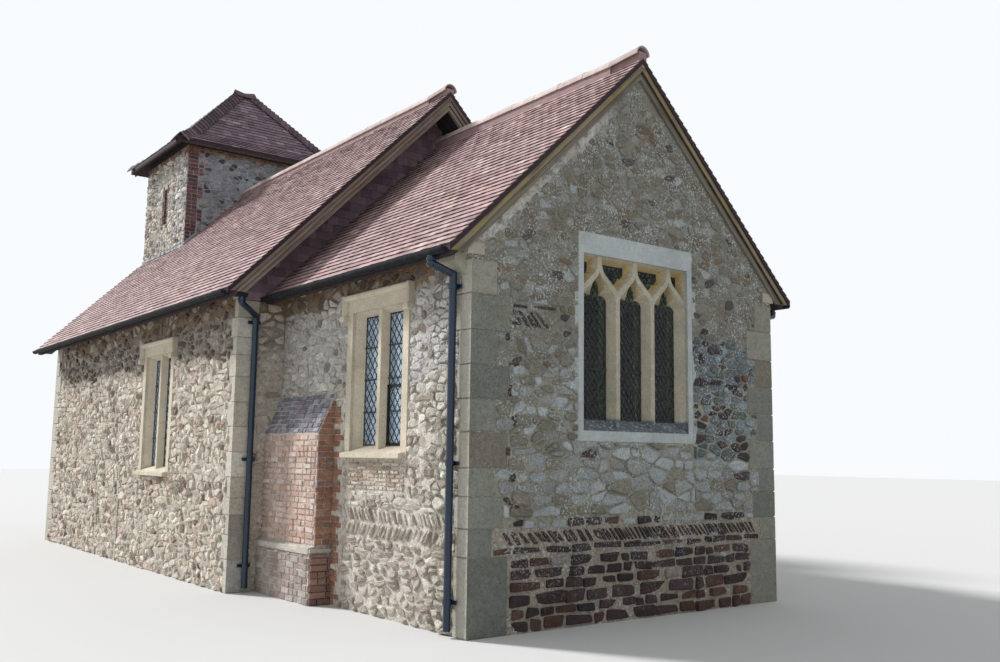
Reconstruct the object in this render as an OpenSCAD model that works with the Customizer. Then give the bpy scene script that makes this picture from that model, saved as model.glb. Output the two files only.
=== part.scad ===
/* [Nave] */
// Width of the nave over its side walls
nave_w = 5500; // [5000:50:6000]
// Length of the nave over its end walls
nave_l = 8900; // [8000:50:10000]
// Height of the lowest tile edge on the nave roof
nave_eave_z = 3640; // [3500:10:3900]
// Pitch of the nave roof in degrees
nave_pitch = 45.4; // [42:0.1:50]
// Overhang of the nave roof past its side walls
nave_eave = 400; // [250:10:450]
// Overhang of the nave roof past its east wall
nave_verge = 600; // [300:10:700]
// Overhang of the nave roof past its west wall
west_verge = 60; // [30:5:150]

/* [Chancel] */
// Width of the chancel over its side walls
chancel_w = 4600; // [4200:50:5000]
// Length of the chancel in front of the nave
chancel_l = 4100; // [3800:50:4600]
// Distance of the chancel's centre line to the north of the nave's
chancel_axis = 190; // [0:10:400]
// Height of the lowest tile edge on the chancel roof
chancel_eave_z = 3680; // [3500:10:3900]
// Pitch of the chancel roof in degrees
chancel_pitch = 44; // [40:1:48]
// Overhang of the chancel roof past its side walls
chancel_eave = 320; // [250:10:400]
// Overhang of the chancel roof past its east wall
chancel_verge = 80; // [40:5:200]

/* [Tower] */
// Width of the tower across the nave
tower_w = 3100; // [2800:20:3400]
// Length of the tower along the nave
tower_l = 2360; // [2000:20:2600]
// Distance of the tower's centre line to the north of the nave's
tower_axis = 340; // [0:10:400]
// Height of the tower walls
tower_wall_z = 7600; // [7000:50:8000]
// Height of the tower's ridge
tower_ridge_z = 9320; // [9000:20:9600]
// Half the length of the tower's short ridge
tower_ridge_half = 160; // [100:10:300]
// Overhang of the tower roof past its walls
tower_eave = 280; // [200:10:350]
// Thickness of the tower walls
tower_wall_t = 600; // [500:10:700]

/* [Walls and roofs] */
// Thickness of the nave's walls
nave_wall_t = 700; // [600:10:800]
// Thickness of the chancel's walls
chancel_wall_t = 650; // [550:10:750]
// Length of roof slope that each course of tiles shows
tile_gauge = 100; // [90:5:120]
// Drop from one course of tiles to the next
tile_step = 16; // [10:1:22]
// Depth of tiles and battens, measured upright
tile_t = 70; // [50:5:90]
// Depth of rafters and boards, measured upright
deck_t = 125; // [100:5:160]
// Outer radius of the half-round ridge tiles
ridge_r = 105; // [90:5:130]
// Length of one ridge tile
ridge_tile_l = 440; // [300:10:500]

/* [East window] */
// Width of the opening between the jambs
east_open_w = 1620; // [1500:10:1700]
// Distance between the centres of two lights
light_pitch = 540; // [500:10:560]
// Depth of the glass behind the wall's face
glass_depth = 150; // [120:5:180]
// Width of a mullion's nose
nose_w = 60; // [40:5:80]
// Width of the window's outer stones past the opening
east_jamb = 75; // [60:5:100]
// Bottom of the window's sill stone
east_z0 = 1860; // [1800:10:1900]
// Top of the window's opening
east_head_z = 3850; // [3800:10:3900]
// Top of the window's head stone
east_z1 = 4075; // [4000:5:4100]

/* [Side windows] */
// Width of the opening between the jambs
side_open_w = 1080; // [1000:10:1200]
// Width of the jamb stones past the opening
side_jamb = 115; // [100:5:160]
// Depth of the side windows' glass behind the wall's face
side_glass_depth = 120; // [100:5:150]
// How far the side windows' stones stand out of the wall
frame_out = 20; // [0:5:40]
// How far the hood mould stands out of the wall
hood_out = 80; // [60:5:100]

/* [Rainwater goods] */
// Outer radius of the half-round gutters
gutter_r = 53; // [50:1:65]
// Outer radius of the downpipes
pipe_r = 38; // [30:1:45]

/* [Hidden] */
$fn = 48;
arch_fn = 192;

// Faces of the three blocks; the nave's ridge line is x = 0
nave_half = nave_w / 2;
chancel_half = chancel_w / 2;
tower_half = tower_w / 2;
y_half = (nave_l + chancel_l + tower_eave + chancel_verge) / 2;
y_east = -y_half + chancel_verge;
y_nave = y_east + chancel_l;
y_west = y_nave + nave_l;
y_tower = y_west - tower_l;
chancel_south = chancel_axis - chancel_half;
chancel_north = chancel_axis + chancel_half;
tower_south = tower_axis - tower_half;
tower_north = tower_axis + tower_half;

// Half spans of the roofs at their lowest tile edges
nave_span = nave_half + nave_eave;
chancel_span = chancel_half + chancel_eave;
tower_span_x = tower_half + tower_eave;
tower_span_y = tower_l / 2 + tower_eave;
tower_y = y_west - tower_l / 2;

// Colours
stone_c = "#b9ae98";
dressed_c = "#cdbf9c";
brick_c = "#9a5238";
tile_c = "#7d4a40";
dark_tile_c = "#5a3a38";
oak_c = "#85705c";
iron_c = "#23282b";
lead_c = "#5a6068";
glass_c = "#39423f";
ridge_c = "#b08f84";

// Height of a roof's tile surface at a distance from its ridge line
function tile_z(eave_z, span, pitch, h) = eave_z + (span - abs(h)) * tan(pitch);
function nave_z(h) = tile_z(nave_eave_z, nave_span, nave_pitch, h);
function chancel_z(h) = tile_z(chancel_eave_z, chancel_span, chancel_pitch, h);

// Points of a cubic curve through two ends and two handles, without its last point
function curve(a, b, c, d, n = 7) = [
    for (i = [0 : n - 1])
        let (t = i / n, s = 1 - t)
        s*s*s * a + 3*s*s*t * b + 3*s*t*t * c + t*t*t * d
];
function mirrored(points) = [for (i = [len(points) - 1 : -1 : 0]) [-points[i].x, points[i].y]];

// Saw-tooth outline of tile courses from a lower point to an upper point
function courses(low, high, n) = [
    for (i = [0 : n - 1])
        let (a = low + (high - low) * i / n, b = low + (high - low) * (i + 1) / n)
        each [a, b - [0, tile_step]]
];
function course_count(low, high) = round(norm(high - low) / tile_gauge);

// Extrudes an outline drawn in x and z from y0 to y1
module across(y0, y1) {
    translate([0, y1, 0])
        rotate([90, 0, 0])
            linear_extrude(y1 - y0) children();
}

// Extrudes an outline drawn in y and z from x0 to x1
module along(x0, x1) {
    translate([x0, 0, 0])
        rotate([90, 0, 90])
            linear_extrude(x1 - x0) children();
}

module box(low, high) {
    translate(low) cube(high - low);
}

module rod(a, b, r) {
    d = b - a;
    translate(a)
        rotate([0, acos(d.z / norm(d)), atan2(d.y, d.x)])
            cylinder(h = norm(d), r = r);
}

// Solid through outlines with as many points each, one at each depth along y
module loft(outlines, depths) {
    n = len(outlines[0]);
    last = (len(depths) - 1) * n;
    polyhedron(
        points = [for (k = [0 : len(depths) - 1]) for (p = outlines[k]) [p.x, depths[k], p.y]],
        faces = concat(
            [[for (i = [n - 1 : -1 : 0]) i]],
            [[for (i = [0 : n - 1]) last + i]],
            [for (k = [0 : n : last - 1]) for (i = [0 : n - 1])
                let (j = (i + 1) % n)
                each [[k + i, k + j, k + n + j], [k + i, k + n + j, k + n + i]]]
        )
    );
}

// Hole through a window's stone: splayed from its front outline to the glass, then straight
module splayed_hole(front, back, glass, nose = nose_depth) {
    loft([front, back, back], [nose - 1, glass, frame_depth + 1]);
}

// Places a window or door drawn facing -y: its face at a wall, turned to look outward
module on_south(x, y) {
    translate([x, y, 0]) rotate([0, 0, -90]) children();
}
module on_north(x, y) {
    translate([x, y, 0]) rotate([0, 0, 90]) children();
}
module on_west(x, y) {
    translate([x, y, 0]) rotate([0, 0, 180]) children();
}

// Two-centred pointed arch over upright sides
module pointed_arch(w, spring, rise) {
    r = (w * w / 4 + rise * rise) / w;
    translate([-w / 2, 0]) square([w, spring]);
    intersection() {
        translate([r - w / 2, spring]) circle(r, $fn = arch_fn);
        translate([w / 2 - r, spring]) circle(r, $fn = arch_fn);
        translate([-w / 2, spring]) square([w, rise]);
    }
}

/* Masonry */

// Outline of a gable wall whose top lies under the roof boards
module gable_outline(half, apex_z, shoulder_z) {
    polygon([[-half, 0], [half, 0], [half, shoulder_z], [0, apex_z], [-half, shoulder_z]]);
}
under = tile_t + deck_t;

// Bargeboards, and how far the roof boards stop short of the lowest tile edge
board_t = 30;
chancel_board_h = 90;
deck_in = 40;
// Depth of the rafters' level feet under the lowest tile edge
foot_drop = 90;

// Room for the timber plate between a side wall and the roof
plate_drop = 60;
nave_wall_z = nave_z(nave_half) - under - plate_drop;
chancel_wall_z = chancel_z(chancel_half) - under - plate_drop;

// Centres of the windows along and across the building
east_window_x = chancel_axis - 30;
chancel_window_y = y_east + 1740;
nave_window_y = y_east + 6960;
chancel_window_z = [1650, 3500];
nave_window_z = [1350, 3325];

east_half_w = east_open_w / 2 + east_jamb;
side_half_w = side_open_w / 2 + side_jamb;
hood_h = 65;
hood_lap = 15;

// Top of a side window's frame stones, which the hood mould laps over
function frame_top(z) = z[1] - hood_h + hood_lap;

// Hole in a side wall for a window that spans the heights z
module window_hole(x, y, z) {
    box([x - 1000, y - side_half_w, z[0]], [x + 1000, y + side_half_w, frame_top(z)]);
}

module chancel_east_wall() {
    color(stone_c)
        difference() {
            across(y_east, y_east + chancel_wall_t)
                translate([chancel_axis, 0])
                    gable_outline(chancel_half, chancel_z(0) - under, chancel_z(chancel_half) - under);
            box([east_window_x - east_half_w, y_east - 1, east_z0],
                [east_window_x + east_half_w, y_east + chancel_wall_t + 1, east_z1]);
        }
}

module chancel_side_wall(x) {
    color(stone_c)
        difference() {
            box([x, y_east + chancel_wall_t, 0], [x + chancel_wall_t, y_nave, chancel_wall_z]);
            window_hole(x, chancel_window_y, chancel_window_z);
        }
}
module chancel_south_wall() chancel_side_wall(chancel_south);
module chancel_north_wall() chancel_side_wall(chancel_north - chancel_wall_t);

// Arch between nave and chancel
arch_w = 2200;
arch_spring = 1900;
arch_rise = 1300;

module nave_east_wall() {
    color(stone_c)
        difference() {
            across(y_nave, y_nave + nave_wall_t)
                gable_outline(nave_half, nave_z(0) - under, nave_z(nave_half) - under);
            across(y_nave - 1, y_nave + nave_wall_t + 1)
                translate([chancel_axis, -1]) pointed_arch(arch_w, arch_spring, arch_rise);
        }
}

module nave_side_wall(x) {
    color(stone_c)
        difference() {
            box([x, y_nave + nave_wall_t, 0], [x + nave_wall_t, y_west - nave_wall_t, nave_wall_z]);
            window_hole(x, nave_window_y, nave_window_z);
        }
}
module nave_south_wall() nave_side_wall(-nave_half);
module nave_north_wall() nave_side_wall(nave_half - nave_wall_t);

// Doorway in the foot of the tower
door_w = 1000;
door_spring = 1500;
door_rise = 600;
door_jamb = 160;
tower_base_z = 3400;

module nave_west_wall() {
    color(stone_c)
        difference() {
            across(y_west - nave_wall_t, y_west)
                gable_outline(nave_half, nave_z(0) - under, nave_z(nave_half) - under);
            box([tower_south, y_west - nave_wall_t - 1, tower_base_z], [tower_north, y_west + 1, tower_wall_z]);
            across(y_west - nave_wall_t - 1, y_west + 1)
                translate([tower_axis, -1]) pointed_arch(door_w + 2 * door_jamb, door_spring, door_rise + door_jamb);
        }
}

module tower_east_wall() {
    tower_arch_w = 1500;
    tower_arch_spring = 1900;
    tower_arch_rise = 950;
    color(stone_c)
        difference() {
            box([tower_south, y_tower, 0], [tower_north, y_tower + tower_wall_t, tower_wall_z]);
            across(y_tower - 1, y_tower + tower_wall_t + 1)
                translate([tower_axis, -1]) pointed_arch(tower_arch_w, tower_arch_spring, tower_arch_rise);
        }
}

// Narrow slit that widens to the inside of the wall
slit_w = 160;
slit_inner_w = 480;
slit_z = [6230, 6960];
slit_y = y_east + 11820;

module slit() {
    translate([0, 0, slit_z[0]])
        linear_extrude(slit_z[1] - slit_z[0])
            polygon([
                [-slit_w / 2, -1], [slit_w / 2, -1], [slit_w / 2, 120],
                [slit_inner_w / 2, tower_wall_t + 1], [-slit_inner_w / 2, tower_wall_t + 1], [-slit_w / 2, 120]
            ]);
}

module tower_south_wall() {
    color(stone_c)
        difference() {
            box([tower_south, y_tower + tower_wall_t, 0],
                [tower_south + tower_wall_t, y_west - nave_wall_t, tower_wall_z]);
            on_south(tower_south, slit_y) slit();
        }
}

module tower_north_wall() {
    color(stone_c)
        difference() {
            box([tower_north - tower_wall_t, y_tower + tower_wall_t, 0],
                [tower_north, y_west - nave_wall_t, tower_wall_z]);
            on_north(tower_north, slit_y) slit();
        }
}

module tower_west_wall() {
    color(stone_c)
        box([tower_south, y_west - nave_wall_t, tower_base_z], [tower_north, y_west, tower_wall_z]);
}

floor_t = 100;

module stone_floor() {
    color("#a79d8b") {
        box([chancel_south + chancel_wall_t, y_east + chancel_wall_t, 0],
            [chancel_north - chancel_wall_t, y_nave, floor_t]);
        difference() {
            box([-nave_half + nave_wall_t, y_nave + nave_wall_t, 0],
                [nave_half - nave_wall_t, y_west - nave_wall_t, floor_t]);
            box([tower_south, y_tower, -1], [tower_north, y_west, floor_t + 1]);
        }
    }
}

// Brick buttress in the corner of chancel and nave, with a sloping head and a plinth
module brick_buttress() {
    buttress_l = 1430;
    out = 210;
    plinth_out = 270;
    ledge_out = 290;
    ledge_z = [565, 630, 650];
    color(brick_c)
        across(y_nave - buttress_l, y_nave)
            translate([chancel_south, 0])
                polygon([
                    [0, 0], [-plinth_out, 0], [-plinth_out, ledge_z[0]], [-ledge_out, ledge_z[0]],
                    [-ledge_out, ledge_z[1]], [-out, ledge_z[2]], [-out, 1930], [0, 2410]
                ]);
}

// Stones at the feet of the chancel's gable: a hollow-moulded corbel on the side wall and a block
module kneeler_stones() {
    out = 140;
    fillet = 8;
    foot_z = 3430;
    corbel_y = [90, 365];
    block_x = [-140, 60];
    block_z = [3635, 3750];
    proud = 12;
    board_low = tile_t + 2 * chancel_board_h + 2;
    color(dressed_c)
        translate([chancel_axis, y_east, 0])
            for (s = [0, 1])
                mirror([s, 0, 0]) {
                    across(corbel_y[0], corbel_y[1])
                        difference() {
                            polygon([
                                [chancel_half, foot_z], [chancel_half + out, foot_z],
                                [chancel_half + out, chancel_z(chancel_half + out) - under],
                                [chancel_half, chancel_z(chancel_half) - under]
                            ]);
                            translate([chancel_half + out + fillet, foot_z]) circle(out);
                        }
                    across(0, corbel_y[0])
                        translate([chancel_half, block_z[0]])
                            square([block_x[1], chancel_z(chancel_half + block_x[1]) - under - block_z[0]]);
                    across(-proud, 0)
                        intersection() {
                            translate([chancel_half + block_x[0], block_z[0]])
                                square([block_x[1] - block_x[0], block_z[1] - block_z[0]]);
                            polygon([
                                [0, 0], [0, chancel_z(0) - board_low],
                                [chancel_span, chancel_z(chancel_span) - board_low], [chancel_span, 0]
                            ]);
                        }
                }
}

/* Windows */

nose_depth = 40;
frame_depth = 260;
pane_t = 6;
east_sill_z = [1960, 1995, 2090];
spring_z = [3390, 3330];
apex_z = [3690, 3630];
light_half = [light_pitch / 2 - nose_w / 2, 190];

// Right half of a light's ogee head at the mullion's nose: from the springing to the apex
function ogee_front(h) = concat(
    curve([h, spring_z[0]], [h - 4, spring_z[0] + 50], [170, 3490], [128, 3540]),
    curve([128, 3540], [90, 3580], [18, 3610], [0, apex_z[0]])
);

// Right half of the same head at the glass, with its cusp
function ogee_back() = concat(
    curve([light_half[1], spring_z[1]], [196, 3410], [130, 3470], [56, 3425]),
    curve([56, 3425], [104, 3475], [84, 3550], [0, apex_z[1]])
);
function light_front(left, right) = concat(
    [[-left, east_sill_z[1]], [right, east_sill_z[1]]],
    ogee_front(right), [[0, apex_z[0]]], mirrored(ogee_front(left))
);
function light_back() = concat(
    [[-light_half[1], east_sill_z[2]], [light_half[1], east_sill_z[2]]],
    ogee_back(), [[0, apex_z[1]]], mirrored(ogee_back())
);

// Right side of the opening over a mullion, from its lowest point up to the head
dagger_half = [light_pitch / 2 - nose_w / 2, 172];
dagger_low = [3480, 3575];
dagger_top = [east_head_z, east_head_z - 65];
function dagger_front() = concat(
    curve([0, dagger_low[0]], [60, 3545], [110, 3580], [150, 3620]),
    curve([150, 3620], [205, 3660], [236, 3700], [dagger_half[0], 3780])
);
function dagger_back() = concat(
    curve([0, dagger_low[1]], [48, 3600], [92, 3606], [76, 3656]),
    curve([76, 3656], [136, 3636], [170, 3690], [dagger_half[1], 3735])
);
function whole(side, half, top) = concat(side, [[half, top], [-half, top]], [
    for (i = [len(side) - 1 : -1 : 1]) [-side[i].x, side[i].y]
]);
function half_of(side, half, top, inset) = concat(
    [for (p = side) [inset + p.x * (half - inset) / half, p.y]], [[half, top], [inset, top]]
);

jamb_inset = 45;

// The window's seven openings at the nose and at the glass: three lights, two daggers, two half daggers
module light_void(c, left, right) {
    translate([c, 0, 0]) splayed_hole(light_front(left, right), light_back(), glass_depth);
}
module dagger_void(c) {
    front = whole(dagger_front(), dagger_half[0], dagger_top[0]);
    back = whole(dagger_back(), dagger_half[1], dagger_top[1]);
    translate([c, 0, 0]) splayed_hole(front, back, glass_depth);
}
module half_dagger_void(side) {
    front = half_of(dagger_front(), dagger_half[0], dagger_top[0], 0);
    back = half_of(dagger_back(), dagger_half[1], dagger_top[1], jamb_inset);
    mirror([side > 0 ? 1 : 0, 0, 0])
        translate([-east_open_w / 2, 0, 0]) splayed_hole(front, back, glass_depth);
}

module east_window_tracery() {
    outer = east_open_w / 2 - light_pitch;
    color(dressed_c)
        translate([east_window_x, y_east, 0])
            difference() {
                box([-east_half_w, 0, east_z0], [east_half_w, frame_depth, east_z1]);
                along(-east_open_w / 2, east_open_w / 2)
                    polygon([
                        [-1, east_sill_z[0]], [nose_depth, east_sill_z[1]],
                        [nose_depth, east_head_z], [-1, east_head_z]
                    ]);
                light_void(-light_pitch, outer, light_half[0]);
                light_void(0, light_half[0], light_half[0]);
                light_void(light_pitch, light_half[0], outer);
                for (s = [-1, 1]) {
                    dagger_void(s * light_pitch / 2);
                    half_dagger_void(s);
                }
            }
}

module east_window_glazing() {
    color(glass_c)
        translate([east_window_x, y_east + glass_depth, 0])
            across(0, pane_t) {
                for (c = [-1 : 1])
                    translate([c * light_pitch, 0]) polygon(light_back());
                for (s = [-1, 1]) {
                    translate([s * light_pitch / 2, 0])
                        polygon(whole(dagger_back(), dagger_half[1], dagger_top[1]));
                    mirror([s > 0 ? 1 : 0, 0])
                        translate([-east_open_w / 2, 0])
                            polygon(half_of(dagger_back(), dagger_half[1], dagger_top[1], jamb_inset));
                }
            }
}

// Square-headed window of two lights with a hood mould, drawn facing -y
head_depth = 140;
mullion_half = 60;
jamb_splay = 80;
function side_light_front(z) = [
    [nose_w / 2, z[0] + 95], [side_open_w / 2, z[0] + 95],
    [side_open_w / 2, z[1] - hood_h - head_depth], [nose_w / 2, z[1] - hood_h - head_depth]
];
function side_light_back(z) = [
    [mullion_half, z[0] + 140], [side_open_w / 2 - jamb_splay, z[0] + 140],
    [side_open_w / 2 - jamb_splay, z[1] - hood_h - head_depth - 50],
    [mullion_half, z[1] - hood_h - head_depth - 50]
];

// Section of the hood mould: x out of the wall, y below its top
hood_section = [[0, 0], [hood_out - 14, 0], [hood_out, -12], [hood_out, -34], [hood_out - 40, -hood_h], [0, -hood_h]];

module hood_mould(z) {
    w = side_half_w + 60;
    drop = 175;
    label_w = 66;
    along(-w, w)
        polygon([for (p = hood_section) [-p.x, z[1] + p.y]]);
    for (s = [0, 1])
        mirror([s, 0, 0]) {
            translate([0, 0, z[1] - hood_h - drop])
                linear_extrude(hood_h + drop - 1)
                    polygon([for (p = hood_section) [w + p.y, -p.x]]);
            translate([w - label_w / 2, -hood_out / 2 - 6, z[1] - hood_h - drop - 30])
                cube([label_w + 34, hood_out + 12, 60], center = true);
        }
}

// Projecting sill slab with a sloping top
module sill_slab(z) {
    slab = [95, 55];
    along(-side_half_w + 30, side_half_w - 30)
        polygon([
            [0, z[0]], [-slab[0] + 8, z[0]], [-slab[0], z[0] + 8],
            [-slab[0], z[0] + slab[1]], [0, z[0] + slab[1] + 22]
        ]);
}

module side_window(z) {
    head = z[1] - hood_h - head_depth;
    nose = nose_depth - frame_out;
    color(dressed_c) {
        difference() {
            box([-side_half_w, -frame_out, z[0]], [side_half_w, frame_depth, frame_top(z)]);
            along(-side_open_w / 2, side_open_w / 2)
                polygon([
                    [-frame_out - 1, z[0] + 70], [nose, z[0] + 95], [nose, head], [-frame_out - 1, head]
                ]);
            for (s = [0, 1])
                mirror([s, 0, 0])
                    splayed_hole(side_light_front(z), side_light_back(z), side_glass_depth, nose);
        }
        sill_slab(z);
        hood_mould(z);
    }
}

module side_panes(z) {
    across(side_glass_depth, side_glass_depth + pane_t)
        for (s = [0, 1])
            mirror([s, 0]) polygon(side_light_back(z));
}

module chancel_south_window() {
    on_south(chancel_south, chancel_window_y) side_window(chancel_window_z);
}
module chancel_north_window() {
    on_north(chancel_north, chancel_window_y) side_window(chancel_window_z);
}
module nave_south_window() {
    on_south(-nave_half, nave_window_y) side_window(nave_window_z);
}
module nave_north_window() {
    on_north(nave_half, nave_window_y) side_window(nave_window_z);
}

module side_window_glazing() {
    color(glass_c) {
        on_south(chancel_south, chancel_window_y) side_panes(chancel_window_z);
        on_north(chancel_north, chancel_window_y) side_panes(chancel_window_z);
        on_south(-nave_half, nave_window_y) side_panes(nave_window_z);
        on_north(nave_half, nave_window_y) side_panes(nave_window_z);
    }
}

/* West door */

door_depth = 180;

module west_door_surround() {
    color(dressed_c)
        on_west(tower_axis, y_west)
            across(0, 300)
                difference() {
                    pointed_arch(door_w + 2 * door_jamb, door_spring, door_rise + door_jamb);
                    translate([0, -1]) pointed_arch(door_w, door_spring + 1, door_rise);
                }
}

module west_door() {
    plank_w = 125;
    groove = 6;
    color(oak_c)
        on_west(tower_axis, y_west)
            difference() {
                across(door_depth, door_depth + 50) pointed_arch(door_w, door_spring, door_rise);
                for (i = [-3 : 3])
                    box([i * plank_w - groove / 2, door_depth - 1, -1],
                        [i * plank_w + groove / 2, door_depth + groove, door_spring + door_rise]);
            }
}

/* Roofs */

// Boards and rafters of a two-sided roof, cut level at the feet behind the gutters
module deck_outline(span, eave_z, pitch) {
    e = span - deck_in;
    top = tile_z(eave_z, span, pitch, 0) - tile_t;
    low = tile_z(eave_z, span, pitch, e) - tile_t;
    foot_z = eave_z - foot_drop;
    h = span - (under - foot_drop) / tan(pitch);
    polygon([
        [-e, low], [0, top], [e, low], [e, foot_z], [h, foot_z],
        [0, top - deck_t], [-h, foot_z], [-e, foot_z]
    ]);
}

// Timber between the top of each side wall and the roof's underside
module wall_plates(span, eave_z, pitch, wall_half, wall_z) {
    outer = wall_half - 40;
    inner = wall_half - 200;
    for (s = [-1, 1])
        polygon([
            [s * outer, wall_z], [s * inner, wall_z],
            [s * inner, tile_z(eave_z, span, pitch, inner) - under + 1],
            [s * outer, tile_z(eave_z, span, pitch, outer) - under + 1]
        ]);
}

module tower_block() {
    box([tower_south, y_tower, 0], [tower_north, y_west + 500, tower_ridge_z]);
}

module chancel_roof_deck() {
    color(oak_c)
        translate([chancel_axis, 0, 0]) {
            across(y_east, y_nave)
                deck_outline(chancel_span, chancel_eave_z, chancel_pitch);
            across(y_east + chancel_wall_t, y_nave)
                wall_plates(chancel_span, chancel_eave_z, chancel_pitch, chancel_half, chancel_wall_z);
        }
}

module nave_roof_deck() {
    color(oak_c) {
        difference() {
            across(y_nave - nave_verge + board_t, y_west + west_verge - board_t)
                deck_outline(nave_span, nave_eave_z, nave_pitch);
            tower_block();
        }
        across(y_nave + nave_wall_t, y_west - nave_wall_t)
            wall_plates(nave_span, nave_eave_z, nave_pitch, nave_half, nave_wall_z);
    }
}

// One slope of tiles: stepped above, plain below; side is -1 for south and 1 for north
module slope_outline(span, eave_z, pitch, side) {
    low = [span, eave_z];
    high = [0, tile_z(eave_z, span, pitch, 0)];
    steps = courses(low, high, course_count(low, high));
    outline = concat(steps, [[0, high.y - tile_t], [span, eave_z - tile_t]]);
    polygon([for (p = outline) [side * p.x, p.y]]);
}

module chancel_tiles(side) {
    color(tile_c)
        across(y_east - chancel_verge, y_nave)
            translate([chancel_axis, 0])
                slope_outline(chancel_span, chancel_eave_z, chancel_pitch, side);
}
module chancel_tiles_south() chancel_tiles(-1);
module chancel_tiles_north() chancel_tiles(1);

module nave_tiles(side) {
    color(tile_c)
        difference() {
            across(y_nave - nave_verge, y_west + west_verge)
                slope_outline(nave_span, nave_eave_z, nave_pitch, side);
            tower_block();
        }
}
module nave_tiles_south() nave_tiles(-1);
module nave_tiles_north() nave_tiles(1);

// Row of half-round tiles on a mortar bed over a roof's apex
module ridge_row(y0, y1, z, pitch) {
    count = round((y1 - y0) / ridge_tile_l);
    step = (y1 - y0) / count;
    shell = 16;
    joint = 4;
    centre_z = z + 15;
    core = ridge_r - shell;
    for (i = [0 : count - 1])
        across(y0 + i * step + joint / 2, y0 + (i + 1) * step - joint / 2)
            translate([0, centre_z])
                difference() {
                    circle(ridge_r);
                    circle(core);
                    translate([-ridge_r - 1, -2 * ridge_r]) square([2 * ridge_r + 2, 2 * ridge_r]);
                }
    across(y0 + 8, y1 - 8)
        intersection() {
            union() {
                translate([0, centre_z]) circle(core);
                translate([-core, z - core * tan(pitch)]) square([2 * core, core * tan(pitch) + 15]);
            }
            polygon([
                [-core, z - core * tan(pitch)], [0, z], [core, z - core * tan(pitch)],
                [core, z + 2 * ridge_r], [-core, z + 2 * ridge_r]
            ]);
        }
}

module chancel_ridge_tiles() {
    color(ridge_c)
        translate([chancel_axis, 0, 0])
            ridge_row(y_east - chancel_verge, y_nave, chancel_z(0), chancel_pitch);
}
module nave_ridge_tiles() {
    color(ridge_c)
        ridge_row(y_nave - nave_verge, y_tower, nave_z(0), nave_pitch);
}

// Tower roof: four slopes that flatten over the eaves and meet in a short ridge
tower_eave_z = 7650;
kick_run = 330;
kick_rise = 240;

function tower_side(span, top_half, drop, stepped) =
    let (
        foot = [span, tower_eave_z],
        kick = [span - kick_run, tower_eave_z + kick_rise],
        top = [top_half, tower_ridge_z],
        line = stepped
            ? concat(courses(foot, kick, 4), courses(kick, top, course_count(kick, top)))
            : [foot, kick, top]
    )
    [for (p = line) [p.x, p.y - drop]];

module tower_hip(drop, stepped, base_z) {
    side_x = tower_side(tower_span_x, tower_ridge_half, drop, stepped);
    side_y = tower_side(tower_span_y, 0, drop, stepped);
    low_x = [[side_x[0].x, base_z]];
    low_y = [[side_y[0].x, base_z]];
    intersection() {
        across(tower_y - tower_span_y - 1, tower_y + tower_span_y + 1)
            translate([tower_axis, 0])
                polygon(concat(low_x, side_x, mirrored(side_x), mirrored(low_x)));
        along(tower_axis - tower_span_x - 1, tower_axis + tower_span_x + 1)
            translate([tower_y, 0])
                polygon(concat(low_y, side_y, mirrored(side_y), mirrored(low_y)));
    }
}

module tower_tiles() {
    color(dark_tile_c)
        difference() {
            tower_hip(0, true, tower_eave_z - tile_t);
            tower_hip(tile_t, false, 0);
        }
}

module tower_roof_deck() {
    plate_w = 150;
    color(oak_c)
        difference() {
            tower_hip(tile_t, false, tower_eave_z - tile_t - 40);
            difference() {
                tower_hip(tile_t + 60, false, 0);
                difference() {
                    box([tower_south + 20, y_tower + 20, tower_wall_z],
                        [tower_north - 20, y_west - 20, tower_ridge_z]);
                    box([tower_south + 20 + plate_w, y_tower + 20 + plate_w, 0],
                        [tower_north - 20 - plate_w, y_west - 20 - plate_w, tower_ridge_z + 1]);
                }
            }
            box([tower_south - 1, y_tower - 1, 0], [tower_north + 1, y_west + 1, tower_wall_z]);
        }
}

// Section of the capping over a hip or the ridge, around a point
cap_r = 70;
cap_lift = -15;
function cap_section(x, z) = concat(
    [for (a = [0 : 20 : 180]) [x + cap_r * cos(a), z + cap_r * sin(a)]],
    [[x - cap_r, z - cap_r], [x + cap_r, z - cap_r]]
);

// Capping from the end of the ridge down one hip to the eaves, bending where the slopes flatten
module hip_cap() {
    foot_in = 60;
    lap = 30;
    reach = [tower_span_x - kick_run - tower_ridge_half, tower_span_y - kick_run];
    turn = atan2(reach.x, reach.y);
    foot = kick_run - foot_in;
    top_z = tower_ridge_z + cap_lift;
    kick_z = tower_eave_z + kick_rise + cap_lift;
    foot_z = tower_eave_z + kick_rise * foot_in / kick_run + cap_lift;
    translate([tower_ridge_half, 0, 0])
        rotate([0, 0, -turn])
            loft(
                [
                    cap_section(0, top_z), cap_section(0, top_z), cap_section(0, kick_z),
                    cap_section(foot * (cos(turn) - sin(turn)), foot_z)
                ],
                [-lap, 0, norm(reach), norm(reach) + foot * (cos(turn) + sin(turn))]
            );
}

module tower_hip_tiles() {
    color(dark_tile_c)
        difference() {
            translate([tower_axis, tower_y, 0]) {
                for (sx = [0, 1])
                    for (sy = [0, 1])
                        mirror([sx, 0, 0]) mirror([0, sy, 0]) hip_cap();
                along(-tower_ridge_half - 10, tower_ridge_half + 10)
                    polygon(cap_section(0, tower_ridge_z + cap_lift));
            }
            tower_hip(0, false, 0);
        }
}

/* Tile hanging and lead */

hang_t = 60;

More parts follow.
